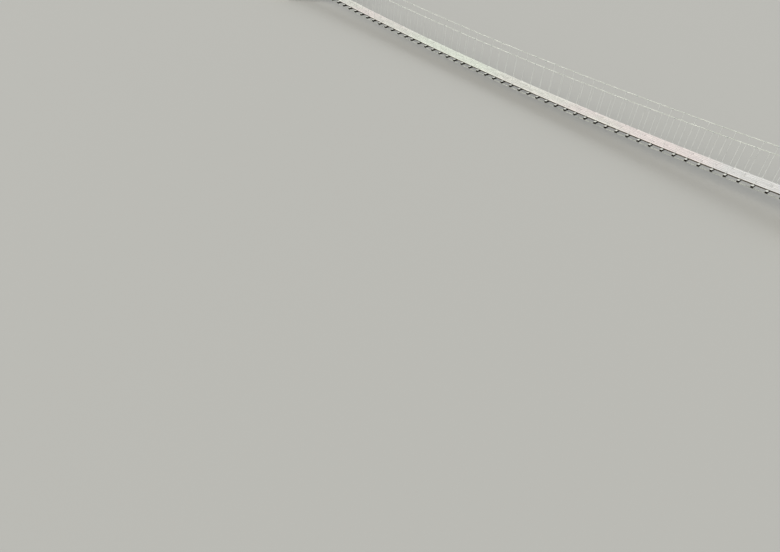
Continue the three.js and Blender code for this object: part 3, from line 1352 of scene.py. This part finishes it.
@dataclass
class FloorFrames:
    """Crossbeams and stringers under the boards, and the plates and U-bolts on the crossbeam ends."""

    beam_length: float = 0.96
    beam_shortfall: float = 0.008
    beam_width: float = 0.09
    beam_arris: float = 0.005
    heart_across: Pair = (-0.02, 0.02)
    heart_up: Pair = (-0.03, 0.03)
    stringer_width: float = 0.04
    stringer_depth: float = 0.066
    stringer_arris: float = 0.003
    stringer_drop: float = 0.012
    stringer_offset: float = 0.18
    stringer_heart: Pair = (0.05, 0.04)
    stringer_log_step: float = 1.7
    bolt_reach: float = 0.018
    bolt_radius: float = 0.004
    bolt_sides: int = 6
    bolt_bends: int = 6
    bolt_proud: float = 0.014
    bolt_nut: Pair = (0.013, 0.0065)
    plate_width: float = 0.085
    plate_corner: float = 0.010
    plate_arris: float = 0.0008
    plate_gap: float = 0.004
    plate_setback: float = 0.006
    chance: random.Random = field(default_factory=lambda: random.Random(5))

    def build(self) -> None:
        """Makes a frame for each section, and the end plates and U-bolts of each side."""
        for number, name in enumerate(SPAN.node_names("floor_frame")):
            self.floor_frame(number).show(name.replace("frame", "timbers"), BEAM_TIMBER, [name])
        inner = SPAN.deck_width / 2 + self.plate_gap
        outer = self.beam_length / 2 - self.plate_setback
        size = (self.plate_width, outer - inner, SPAN.end_plate_depth)
        plate = cuboid(size, self.plate_arris, corner=self.plate_corner)
        seat = -SPAN.beam_top_drop + SPAN.end_plate_depth / 2
        hook = self.u_bolt()
        places = [SPAN.beam_place(x) for x in SPAN.beam_lines()]
        for side in Side:
            hooks, plates = Weldment(), Weldment()
            over_rope = at(y=side.value * SPAN.walkway_rope_offset)
            on_beam = at(0.0, side.value * (inner + outer) / 2, seat)
            hooks.stamp(hook, *(place @ over_rope for place in places))
            plates.stamp(plate, *(place @ on_beam for place in places))
            hooks.show(f"{side.name.lower()}_u_bolts", BRIGHT_ZINC)
            plates.show(f"{side.name.lower()}_end_plates", PLATE_ZINC)

    def floor_frame(self, number: int) -> Weldment:
        """Gathers the six crossbeams and two stringers of one section.

        Args:
            number: The section, counted from 0 at the left end.

        Returns:
            The timbers.
        """
        timbers = Weldment()
        first = number * SPAN.bays_in_section
        down = at(z=-SPAN.beam_top_drop - SPAN.beam_depth / 2)
        for index in range(first, first + SPAN.bays_in_section):
            length = self.beam_length - self.chance.uniform(0.0, self.beam_shortfall)
            timbers.stamp(self.crossbeam(length), SPAN.beam_place(SPAN.beam_line(index)) @ down)
        for side in Side:
            timbers.stamp(self.stringer(first, side.value * self.stringer_offset))
        return timbers

    def crossbeam(self, length: float) -> Mesh:
        """Makes a crossbeam about the origin, sawn from a log with its heart boxed in.

        Args:
            length: Length along Y.

        Returns:
            The shape.
        """
        bm = opened(cuboid((self.beam_width, length, SPAN.beam_depth), self.beam_arris, 2))
        heart = drawn_heart(self.chance, self.heart_across, self.heart_up)
        mark_timber(bm, Vector((0.0, 1.0, 0.0)), heart, self.chance)
        return as_mesh(bm)

    def stringer(self, first: int, offset: float) -> Mesh:
        """Makes the stringer that runs through the crossbeams of one section.

        Args:
            first: Number of the section's first bay.
            offset: Y of the stringer.

        Returns:
            The shape.
        """
        start = first * SPAN.bay - SPAN.half + SPAN.seat_gap / 2
        length = SPAN.bays_in_section * SPAN.bay - SPAN.seat_gap
        drop = SPAN.beam_top_drop + self.stringer_drop + self.stringer_depth / 2
        bm = opened(cuboid((length, self.stringer_width, self.stringer_depth), self.stringer_arris))
        bmesh.ops.translate(bm, vec=(start + length / 2, offset, -drop), verts=bm.verts[:])
        along = Vector((1.0, 0.0, 0.0))
        for cut in range(1, SPAN.bays_in_section):
            cut_across(bm, along * (start + cut * SPAN.bay), along)
        mark_timber(bm, along, Vector((first * self.stringer_log_step, *self.stringer_heart)), self.chance)
        for vert in bm.verts:
            vert.co.z += SPAN.level(vert.co.x)
        return as_mesh(bm)

    def u_bolt(self) -> Mesh:
        """Makes a U-bolt round a walkway rope, with its nuts on the end plate.

        Returns:
            The shape, with its origin on the top of the boards over the rope.
        """
        rope = (0.0, 0.0, -SPAN.walkway_rope_drop)
        bm = bmesh.new()
        ring = bmesh.ops.create_circle(bm, segments=self.bolt_sides, radius=self.bolt_radius)["verts"]
        bmesh.ops.translate(bm, vec=(0.0, self.bolt_reach, -SPAN.walkway_rope_drop), verts=ring)
        sweep(bm, (1.0, 0.0, 0.0), -math.pi, self.bolt_bends, centre=rope)
        open_ends = [edge for edge in bm.edges if edge.is_boundary]
        legs = bmesh.ops.extrude_edge_only(bm, edges=open_ends)["geom"]
        tips = [item for item in legs if isinstance(item, bmesh.types.BMVert)]
        rise = SPAN.walkway_rope_drop + SPAN.plate_top + self.bolt_proud
        bmesh.ops.translate(bm, vec=(0.0, 0.0, rise), verts=tips)
        seal(bm)
        parts = Weldment()
        parts.stamp(as_mesh(bm))
        seats = crossings((0.0,), (-self.bolt_reach, self.bolt_reach), SPAN.plate_top)
        parts.stamp(nut(*self.bolt_nut), *seats)
        return parts.shape()


@dataclass
class HandRopes:
    """The two hand ropes over their saddles, and a hanger rod with its clamp at every crossbeam."""

    rope: WireRope = field(default_factory=WireRope)
    rod_radius: float = 0.006
    rod_tail: float = 0.02
    rod_tip_drop: float = 0.016
    washer: Pair = (0.0145, 0.0025)
    hanger_nut: Pair = (0.019, 0.010)
    lock_nut: Pair = (0.019, 0.008)
    lock_nut_drop: float = 0.056
    clamp_radius: float = 0.020
    clamp_length: float = 0.05
    # Share of its radius and of its length from which its ends are chamfered.
    clamp_chamfer: float = 0.8
    clamp_sides: int = 10
    clamp_ear: Size = (0.036, 0.058, 0.012)
    clamp_arris: float = 0.0015
    clamp_boss: Size = (0.011, -0.048, -0.012)
    clamp_nut: Pair = (0.010, 0.005)
    clamp_nut_offset: float = 0.0235
    saddle_radius: float = 0.16
    saddle_steps: int = 16
    saddle_approach: float = 0.02
    post_line: float = 15.17
    backstay: float = math.radians(38)
    pin_height: float = 0.10

    def build(self) -> None:
        """Makes both ropes and the hangers of both sides."""
        route = Route(self.right_half())
        hanger, clamp = self.hanger(), self.clamp()
        for side in Side:
            name = side.name.lower()
            offset = side.value * SPAN.hand_rope_offset
            rope = self.rope.lay_along(route, offset)
            rope.show(f"{name}_hand_rope", HAND_ROPE_STEEL, [f"{name}_hand_cable"])
            hangers, clamps = Weldment(), Weldment()
            for x in SPAN.beam_lines():
                hangers.stamp(hanger, SPAN.upright_place(x, offset, 0.0))
                clamps.stamp(clamp, SPAN.upright_place(x, offset, SPAN.hand_rope_height) @ SPAN.tilt(x))
            hangers.show(f"{name}_hangers", BRIGHT_ZINC)
            clamps.show(f"{name}_rope_clamps", CAST_ZINC)

    @property
    def arrival(self) -> float:
        """Slope at which a rope reaches the right saddle, in radians."""
        return math.atan(SPAN.slope(SPAN.half))

    @property
    def crown(self) -> Vector:
        """Centre of the rope's bend over the right saddle.

        Returns:
            The point.
        """
        tilt, radius = self.arrival, self.saddle_radius
        x = self.post_line - radius * math.sin((self.backstay - tilt) / 2)
        start = x - radius * math.sin(tilt)
        return Vector((x, 0.0, SPAN.level(start) + SPAN.hand_rope_height - radius * math.cos(tilt)))

    def on_saddle(self, angle: float) -> Vector:
        """Point of the rope on the right saddle, at an angle from the top of its bend."""
        return self.crown + self.saddle_radius * Vector((math.sin(angle), 0.0, math.cos(angle)))

    @property
    def pin(self) -> Vector:
        """Middle of the right backstay's pin.

        Returns:
            The point.
        """
        leave = self.on_saddle(self.backstay)
        drop = leave.z - SPAN.end_level - self.pin_height
        return leave + Vector((drop / math.tan(self.backstay), 0.0, -drop))

    def right_half(self) -> list[Vector]:
        """Lists points of the rope's centreline from mid-span to its right socket.

        Returns:
            The points.
        """
        arrival, backstay = self.arrival, self.backstay
        landing = self.crown.x - self.saddle_radius * math.sin(arrival) - self.saddle_approach
        quarters = [step * SPAN.bay / 4 for step in range(2 * SPAN.bays)]
        hung = [SPAN.over_boards(x, SPAN.hand_rope_height) for x in quarters if x < landing]
        bend = (arrival + backstay) / self.saddle_steps
        bent = [self.on_saddle(step * bend - arrival) for step in range(self.saddle_steps + 1)]
        up_stay = Vector((-math.cos(backstay), 0.0, math.sin(backstay)))
        return [*hung, *bent, self.pin + up_stay * (SOCKET.length - SOCKET.tuck)]

    def hanger(self) -> Mesh:
        """Makes a hanger rod with its nuts above and below the crossbeam and its lock nut under the clamp.

        Returns:
            The shape, with its origin on the top of the boards.
        """
        washer, held = disc(*self.washer), nut(*self.hanger_nut)
        thickness, height = self.washer[1], self.hanger_nut[1]
        top, base = SPAN.plate_top, -SPAN.beam_base_drop
        parts = Weldment()
        tip = SPAN.hand_rope_height - self.rod_tip_drop
        parts.stamp(rod(self.rod_radius, base - self.rod_tail, tip))
        parts.stamp(washer, at(z=top))
        parts.stamp(held, at(z=top + thickness))
        parts.stamp(washer, at(z=base - thickness))
        parts.stamp(held, at(z=base - thickness - height))
        parts.stamp(nut(*self.lock_nut), at(z=SPAN.hand_rope_height - self.lock_nut_drop))
        return parts.shape()

    def clamp(self) -> Mesh:
        """Makes the two-part clamp round the hand rope, with the boss that takes the hanger.

        Returns:
            The shape, with its origin on the rope's centreline.
        """
        half, radius = self.clamp_length / 2, self.clamp_radius
        lip, shoulder = self.clamp_chamfer * radius, self.clamp_chamfer * half
        low = [(0.0, -half), (lip, -half), (radius, -shoulder)]
        high = [(radius, shoulder), (lip, half), (0.0, half)]
        offset = self.clamp_nut_offset
        parts = Weldment()
        parts.stamp(turned([*low, *high], self.clamp_sides), turn("Y", math.pi / 2))
        parts.stamp(cuboid(self.clamp_ear, self.clamp_arris))
        parts.stamp(rod(*self.clamp_boss))
        parts.stamp(nut(*self.clamp_nut), *crossings((0.0,), (-offset, offset), self.clamp_ear[2] / 2))
        return parts.shape()


@dataclass
class WalkwayRopes:
    """The two ropes under the crossbeam ends, each from socket to socket."""

    rope: WireRope = field(default_factory=WireRope)
    plate_depth: float = 0.02

    @property
    def mouth_x(self) -> float:
        """X of the right socket's mouth."""
        return SPAN.abutment_face - SPAN.seat_gap - self.plate_depth - SOCKET.length

    def build(self) -> None:
        """Makes both ropes."""
        halves = [step * SPAN.bay / 2 for step in range(SPAN.bays + 1)]
        spots = [x for x in halves if x < self.mouth_x] + [self.mouth_x + SOCKET.tuck]
        route = Route([SPAN.over_boards(x, -SPAN.walkway_rope_drop) for x in spots])
        for side in Side:
            name = side.name.lower()
            rope = self.rope.lay_along(route, side.value * SPAN.walkway_rope_offset)
            rope.show(f"{name}_walkway_rope", WALKWAY_ROPE_STEEL, [f"{name}_walkway_cable"])


@dataclass(frozen=True)
class Abutment:
    """Footing and stem of cast concrete, with formwork joints and plugged tie holes."""

    length: float = 1.8
    width: float = 1.6
    footing_height: float = 0.3
    footing_spread: float = 0.15
    footing_arris: float = 0.012
    chamfer: float = 0.02
    # Axis that each formwork joint crosses, and where it lies on it.
    form_joints: tuple[tuple[int, float], ...] = ((0, -0.3), (0, 0.3), (1, 0.0))
    joint_depth: float = 0.006
    plug_outline: tuple[Pair, ...] = (
        (0.0, -0.01),
        (0.022, -0.01),
        (0.022, 0.0012),
        (0.018, 0.0012),
        (0.013, -0.004),
        (0.0, -0.004),
    )
    plug_sides: int = 10
    # Where the plugs are on the stem, from its middle.
    plug_heights: tuple[float, ...] = (-0.38, 0.12, 0.38)
    plugs_along: tuple[float, ...] = (-0.72, -0.36, 0.0, 0.36, 0.72)
    plugs_across: tuple[float, ...] = (-0.6, -0.2, 0.2, 0.6)

    def shape(self) -> Mesh:
        """Makes the right abutment.

        Returns:
            The shape.
        """
        spread = 2 * self.footing_spread
        rise = SPAN.end_level - self.footing_height
        x = SPAN.abutment_face + self.length / 2
        footing = (self.length + spread, self.width + spread, self.footing_height)
        stem = at(x, 0.0, self.footing_height + rise / 2)
        parts = Weldment()
        parts.stamp(cuboid(footing, self.footing_arris, 2), at(x, 0.0, self.footing_height / 2))
        parts.stamp(self.stem(rise), stem)
        plug = turned(self.plug_outline, self.plug_sides)
        for height in self.plug_heights:
            for along in self.plugs_along:
                for way in BOTH_WAYS:
                    spot = stem @ at(along, way * self.width / 2, height)
                    parts.stamp(plug, spot @ turn("X", -way * math.pi / 2))
            for across in self.plugs_across:
                for way in BOTH_WAYS:
                    spot = stem @ at(way * self.length / 2, across, height)
                    parts.stamp(plug, spot @ turn("Y", way * math.pi / 2))
        return parts.shape()

    def stem(self, rise: float) -> Mesh:
        """Makes the stem about the origin, with grooves where the formwork panels met.

        Args:
            rise: Its height.

        Returns:
            The shape.
        """
        size = (self.length, self.width, rise)
        bm = bmesh.new()
        bmesh.ops.scale(bm, vec=size, verts=bmesh.ops.create_cube(bm, size=1.0)["verts"])
        above_base = [edge for edge in bm.edges if max(vert.co.z for vert in edge.verts) > 0]
        soften(bm, above_base, self.chamfer, 1)
        for axis, spot in self.form_joints:
            normal = Vector([float(axis == index) for index in range(3)])
            for shift in (-self.joint_depth, 0.0, self.joint_depth):
                cut_across(bm, normal * (spot + shift), normal)
            drawn = [vert for vert in bm.verts if abs(vert.co[axis] - spot) < SAME_SPOT]
            inward = 1.0 - 2 * self.joint_depth / size[1 - axis]
            bmesh.ops.scale(bm, vec=(1.0, inward, 1.0) if axis == 0 else (inward, 1.0, 1.0), verts=drawn)
        return as_mesh(bm)


@dataclass(frozen=True)
class Threshold:
    """Chequer plate that bridges the joint between the walkway and the abutment."""

    size: Size = (0.1, 0.7, 0.008)
    lap: float = 0.05
    corner: float = 0.006
    arris: float = 0.0012
    tread: Size = (0.021, 0.0055, 0.0030)
    rows: int = 4
    columns: int = 28
    pitch: float = 0.025
    slant: float = math.radians(45)

    def shape(self) -> Mesh:
        """Makes the plate of the right end.

        Returns:
            The shape.
        """
        length, width, thickness = self.size
        sheet = thickness - self.tread[2] / 2
        centre = at(SPAN.abutment_face - self.lap + length / 2, 0.0, SPAN.end_level + SPAN.seat_gap)
        tread = cuboid(self.tread, self.arris)
        parts = Weldment()
        parts.stamp(cuboid((length, width, sheet), self.arris, corner=self.corner), centre @ at(z=sheet / 2))
        for row in range(self.rows):
            for column in range(self.columns):
                along = self.pitch * (row - (self.rows - 1) / 2)
                across = self.pitch * (column - (self.columns - 1) / 2)
                slant = self.slant if (row + column) % 2 else -self.slant
                parts.stamp(tread, centre @ at(along, across, sheet) @ turn("Z", slant))
        return parts.shape()


@dataclass
class Posts:
    """Square tube posts, and the cast saddles on them that carry the hand ropes."""

    hand_ropes: HandRopes
    width: float = 0.10
    corner: float = 0.012
    arris: float = 0.0015
    base_plate: Size = (0.20, 0.20, 0.02)
    cap_plate: Size = (0.15, 0.15, 0.012)
    cap_corner: float = 0.01
    gusset_reach: float = 0.045
    gusset_rise: float = 0.09
    gusset_depth: float = 0.008
    gusset_bite: float = 0.001
    weld_size: Size = (0.006, 0.09, 0.006)
    weld_round: float = 0.0025
    weld_offset: float = 0.002
    bolt: Pair = (0.016, 0.026)
    bolt_offset: float = 0.078
    saddle_depth: float = 0.105
    saddle_draw: float = 0.020
    saddle_rim: float = 0.014
    # Area from which a face of the saddle is one of its sides, and degrees of turn of an arris on it.
    saddle_side_area: float = 0.004
    saddle_arris_turn: float = 50.0
    saddle_bolt: Size = (0.010, 0.014, 0.0095)
    saddle_bolt_offsets: Pair = (0.045, 0.0245)

    @property
    def top(self) -> float:
        """Height of the top of the right posts' cap plates."""
        return self.hand_ropes.crown.z + self.hand_ropes.saddle_radius - self.saddle_depth

    def post(self) -> Mesh:
        """Makes a post with its base plate, gussets, welds, cap plate and anchor bolts.

        Returns:
            The shape, on the line Y = 0.
        """
        bottom = SPAN.end_level + SPAN.seat_gap
        shaft_bottom = bottom + self.base_plate[2]
        shaft_top = self.top - self.cap_plate[2]
        shaft = (self.width, self.width, shaft_top - shaft_bottom)
        line = at(self.hand_ropes.post_line)
        parts = Weldment()
        base = cuboid(self.base_plate, self.arris, corner=self.corner)
        parts.stamp(base, line @ at(z=bottom + self.base_plate[2] / 2))
        parts.stamp(cuboid(shaft, corner=self.corner), line @ at(z=(shaft_bottom + shaft_top) / 2))
        cap = cuboid(self.cap_plate, self.arris, corner=self.cap_corner)
        parts.stamp(cap, line @ at(z=self.top - self.cap_plate[2] / 2))
        inner = self.width / 2 - self.gusset_bite
        outer = self.width / 2 + self.gusset_reach
        fin = [(inner, 0.0), (outer, 0.0), (outer, self.gusset_depth), (inner, self.gusset_rise)]
        gusset = prism(fin, self.gusset_depth)
        bolt = fixing(*self.bolt)
        weld = cuboid(self.weld_size, self.weld_round)
        for quarter in range(4):
            floor = line @ at(z=shaft_bottom) @ turn("Z", quarter * math.pi / 2)
            parts.stamp(gusset, floor)
            parts.stamp(bolt, floor @ at(self.bolt_offset, self.bolt_offset))
            parts.stamp(weld, floor @ at(self.width / 2 + self.weld_offset, 0.0, self.weld_offset))
        return parts.shape()

    def saddle(self) -> Mesh:
        """Makes the cast saddle from its solid, with its sides drawn in to a web and bolts on its base.

        Returns:
            The shape, on the line Y = 0.
        """
        bm = opened(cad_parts["right_near_saddle"].data)
        bmesh.ops.translate(bm, vec=(0.0, SPAN.hand_rope_offset, 0.0), verts=bm.verts[:])
        bmesh.ops.remove_doubles(bm, verts=bm.verts[:], dist=SAME_SPOT)
        flat = math.radians(FLAT_TURN)
        bmesh.ops.dissolve_limit(bm, angle_limit=flat, verts=bm.verts[:], edges=bm.edges[:])
        upright = [face for face in bm.faces if abs(face.normal.y) > ALIGNED]
        for side in [face for face in upright if face.calc_area() > self.saddle_side_area]:
            bmesh.ops.inset_region(
                bm, faces=[side], thickness=self.saddle_rim, depth=-self.saddle_draw, use_even_offset=True
            )
        soften(bm, sharp_edges(bm, self.saddle_arris_turn), self.arris, 2)
        parts = Weldment()
        parts.stamp(as_mesh(bm))
        along, across = self.saddle_bolt_offsets
        floor = at(self.hand_ropes.post_line, 0.0, self.top + SPAN.seat_gap + self.saddle_rim)
        spots = crossings((-along, along), (-across, across))
        parts.stamp(fixing(*self.saddle_bolt), *(floor @ spot for spot in spots))
        return parts.shape()


@dataclass
class Anchors:
    """What holds the ends of the ropes: a forked socket on a lug, and a socket on a face plate."""

    hand_ropes: HandRopes
    walkway_ropes: WalkwayRopes
    arris: float = 0.0015
    foot_plate: Size = (0.26, 0.16, 0.02)
    foot_corner: float = 0.015
    foot_bolt: Pair = (0.020, 0.034)
    foot_bolt_offsets: Pair = (0.098, 0.052)
    lug_size: Size = (0.11, 0.03, 0.14)
    lug_arris: float = 0.002
    lug_corner: float = 0.045
    lug_root: float = 0.05
    fork_jaw: float = 0.085
    ear: Size = (0.048, 0.012, 0.125)
    ear_corner: float = 0.022
    ear_offset: float = 0.0225
    ear_rise: float = 0.038
    pin_radius: float = 0.013
    pin_reach: float = 0.036
    face_plate: float = 0.18
    face_corner: float = 0.012
    face_bolt: Pair = (0.016, 0.026)
    face_bolt_offset: float = 0.064
    face_jaw: float = 0.062
    stud: Size = (0.017, -0.006, 0.064)
    # Width across flats, height and seat of each nut on the stud.
    stud_nuts: tuple[Size, ...] = ((0.05, 0.024, 0.004), (0.05, 0.014, 0.029))

    def backstay(self) -> Mesh:
        """Makes the plate, lug, forked socket and pin that hold the foot of a backstay.

        Returns:
            The shape, on the line Y = 0.
        """
        pin = at(*self.hand_ropes.pin)
        thickness = self.foot_plate[2]
        floor = at(self.hand_ropes.pin.x, 0.0, SPAN.end_level + SPAN.seat_gap)
        parts = Weldment()
        plate = cuboid(self.foot_plate, self.arris, corner=self.foot_corner)
        parts.stamp(plate, floor @ at(z=thickness / 2))
        length, width, height = self.lug_size
        rise = height - thickness
        lug = (length, width, rise + self.lug_root)
        seat = floor @ at(z=thickness + rise / 2 - self.lug_root / 2)
        parts.stamp(cuboid(lug, self.lug_arris, corner=self.lug_corner, corner_axis=1), seat)
        along, across = self.foot_bolt_offsets
        spots = crossings((-along, along), (-across, across), thickness)
        parts.stamp(fixing(*self.foot_bolt), *(floor @ spot for spot in spots))
        stay = pin @ turn("Y", self.hand_ropes.backstay - math.pi / 2)
        parts.stamp(SOCKET.basket(self.fork_jaw), stay)
        ears = crossings((0.0,), (-self.ear_offset, self.ear_offset), self.ear_rise)
        ear = cuboid(self.ear, self.arris, corner=self.ear_corner, corner_axis=1)
        parts.stamp(ear, *(stay @ spot for spot in ears))
        bar = rod(self.pin_radius, -self.pin_reach, self.pin_reach, PIN_SIDES)
        parts.stamp(bar, pin @ turn("X", math.pi / 2))
        return parts.shape()

    def face(self) -> Mesh:
        """Makes the face plate, socket, stud and nuts that hold the end of a walkway rope.

        Returns:
            The shape, on the line Y = 0.
        """
        mouth = SPAN.over_boards(self.walkway_ropes.mouth_x, -SPAN.walkway_rope_drop)
        depth = self.walkway_ropes.plate_depth
        slope = SPAN.slope(self.walkway_ropes.mouth_x)
        lean = math.atan(slope)
        x = SPAN.abutment_face - SPAN.seat_gap - depth / 2
        z = mouth.z + slope * (x - self.walkway_ropes.mouth_x)
        parts = Weldment()
        size = (depth, self.face_plate, self.face_plate)
        parts.stamp(cuboid(size, self.arris, corner=self.face_corner, corner_axis=0), at(x, 0.0, z))
        bolt = fixing(*self.face_bolt)
        offsets = (-self.face_bolt_offset, self.face_bolt_offset)
        for across in offsets:
            for up in offsets:
                parts.stamp(bolt, at(x - depth / 2, across, z + up) @ turn("Y", -math.pi / 2))
        seat = at(*(mouth + SOCKET.length * Vector((math.cos(lean), 0.0, math.sin(lean)))))
        stay = seat @ turn("Y", -math.pi / 2 - lean)
        parts.stamp(SOCKET.basket(self.face_jaw), stay)
        parts.stamp(rod(*self.stud, PIN_SIDES), stay)
        for across_flats, height, rise in self.stud_nuts:
            parts.stamp(nut(across_flats, height), stay @ at(z=rise))
        return parts.shape()


@dataclass
class EndWorks:
    """What stands at each end: abutment, threshold, posts with their saddles, and the ropes' anchors."""

    posts: Posts
    anchors: Anchors
    abutment: Abutment = field(default_factory=Abutment)
    threshold: Threshold = field(default_factory=Threshold)

    def build(self) -> None:
        """Makes both ends."""
        on_centre = [
            (self.abutment.shape(), "abutment_cast", ABUTMENT_CONCRETE, "abutment"),
            (self.threshold.shape(), "chequer_plate", ROLLED_ZINC, "threshold_plate"),
        ]
        under_hand_rope = [
            (self.posts.post(), "tube_post", ROLLED_ZINC, "post"),
            (self.posts.saddle(), "cast_saddle", CAST_ZINC, "saddle"),
            (self.anchors.backstay(), "backstay_socket", CAST_ZINC, "hand_cable_anchor"),
        ]
        on_walkway_rope = [(self.anchors.face(), "face_socket", CAST_ZINC, "walkway_cable_anchor")]
        for end in End:
            name = end.name.lower()
            facing = turn("Z", 0.0 if end is End.RIGHT else math.pi)
            self.place(on_centre, facing, name)
            for side in Side:
                across = side.value * end.value
                stem = f"{name}_{side.name.lower()}"
                self.place(under_hand_rope, facing @ at(y=across * SPAN.hand_rope_offset), stem)
                self.place(on_walkway_rope, facing @ at(y=across * SPAN.walkway_rope_offset), stem)

    def place(self, works: list[tuple[Mesh, str, Finish, str]], where: Matrix, stem: str) -> None:
        """Shows shapes of the right end at their place at either end.

        Args:
            works: Each shape with its name, its finish and the solid that it is shown in place of.
            where: Turn and move that take them there.
            stem: Start of both names.
        """
        for shape, name, finish, node in works:
            piece = Weldment()
            piece.stamp(shape, where)
            piece.show(f"{stem}_{name}", finish, [f"{stem}_{node}"])


@dataclass(frozen=True)
class Studio:
    """A plain pale floor, soft light from above, and the camera at the photo's angle."""

    floor_reach: float = 900.0
    floor_grey: str = "#B5B5B1"
    floor_roughness: float = 0.95
    sky_colour: str = "#F4F7FA"
    sky_strength: float = 0.63
    key_colour: str = "#FFFAF0"
    key_strength: float = 3.9
    key_spread: float = 35.0
    key_from: Size = (-1.5, -2.2, 1.1)
    frame_width: int = 780
    sensor_width: float = 36.0
    focal_pixels: float = 620.0
    nearest: float = 0.1
    camera_at: Size = (17.589, -23.257, 11.501)
    camera_heading: float = 134.053
    camera_fall: float = 39.640
    camera_roll: float = 6.129

    def build(self) -> None:
        """Makes the camera, the light and the floor."""
        self.set_camera()
        self.set_light()
        self.lay_floor()

    def set_camera(self) -> None:
        """Stands the camera where the photo was taken from, turned by its heading, fall and roll."""
        angles = (self.camera_heading, self.camera_fall, self.camera_roll)
        heading, fall, roll = (math.radians(angle) for angle in angles)
        ahead = Vector((math.cos(heading), math.sin(heading), 0.0))
        forward = ahead * math.cos(fall) - Vector((0.0, 0.0, math.sin(fall)))
        level = Vector((math.sin(heading), -math.cos(heading), 0.0))
        upward = level.cross(forward)
        right = level * math.cos(roll) + upward * math.sin(roll)
        above = upward * math.cos(roll) - level * math.sin(roll)
        lens = bpy.data.cameras.new("photo_camera")
        lens.sensor_fit = "HORIZONTAL"
        lens.sensor_width = self.sensor_width
        lens.lens = self.focal_pixels / self.frame_width * self.sensor_width
        lens.clip_start = self.nearest
        lens.clip_end = 2 * self.floor_reach
        camera = stand("photo_camera", lens)
        facing = Matrix((right, above, -forward)).transposed().to_4x4()
        camera.matrix_world = at(*self.camera_at) @ facing
        bpy.context.scene.camera = camera
        LOG.info("camera at %s, %.2f mm", self.camera_at, lens.lens)

    def set_light(self) -> None:
        """Lights the bridge with a pale sky and one broad soft light from above."""
        world = bpy.data.worlds.new("studio_sky")
        world.use_nodes = True
        sky = {"Color": linear(self.sky_colour), "Strength": self.sky_strength}
        feed(world.node_tree.nodes["Background"], sky)
        bpy.context.scene.world = world
        bpy.context.scene.view_settings.view_transform = "Standard"
        key = bpy.data.lights.new("studio_key", "SUN")
        key.energy = self.key_strength
        key.angle = math.radians(self.key_spread)
        key.color = linear(self.key_colour)[:3]
        lamp = stand("studio_key", key)
        lamp.rotation_euler = Vector(self.key_from).to_track_quat("Z", "Y").to_euler()

    def lay_floor(self) -> None:
        """Lays the plain floor that the abutments stand on."""
        bm = bmesh.new()
        bmesh.ops.create_grid(bm, x_segments=1, y_segments=1, size=self.floor_reach)
        mesh = as_mesh(bm)
        paint = bpy.data.materials.new("plain_studio_floor")
        paint.use_nodes = True
        plain = {"Base Color": linear(self.floor_grey), "Roughness": self.floor_roughness}
        feed(paint.node_tree.nodes["Principled BSDF"], plain)
        mesh.materials.append(paint)
        floor = stand("studio_floor", mesh)


def drop_spare_shapes() -> None:
    """Removes the shapes that were only there to be stamped."""
    for mesh in [mesh for mesh in bpy.data.meshes if mesh.users == 0]:
        bpy.data.meshes.remove(mesh)


def main() -> None:
    """Builds the studio and the dressed bridge."""
    logging.basicConfig(level=logging.INFO, format="%(message)s")
    Studio().build()
    hand_ropes = HandRopes()
    walkway_ropes = WalkwayRopes()
    end_works = EndWorks(Posts(hand_ropes), Anchors(hand_ropes, walkway_ropes))
    for sub_assembly in (Boards(), FloorFrames(), hand_ropes, walkway_ropes, end_works):
        sub_assembly.build()
    drop_spare_shapes()


if __name__ == "__main__":
    main()
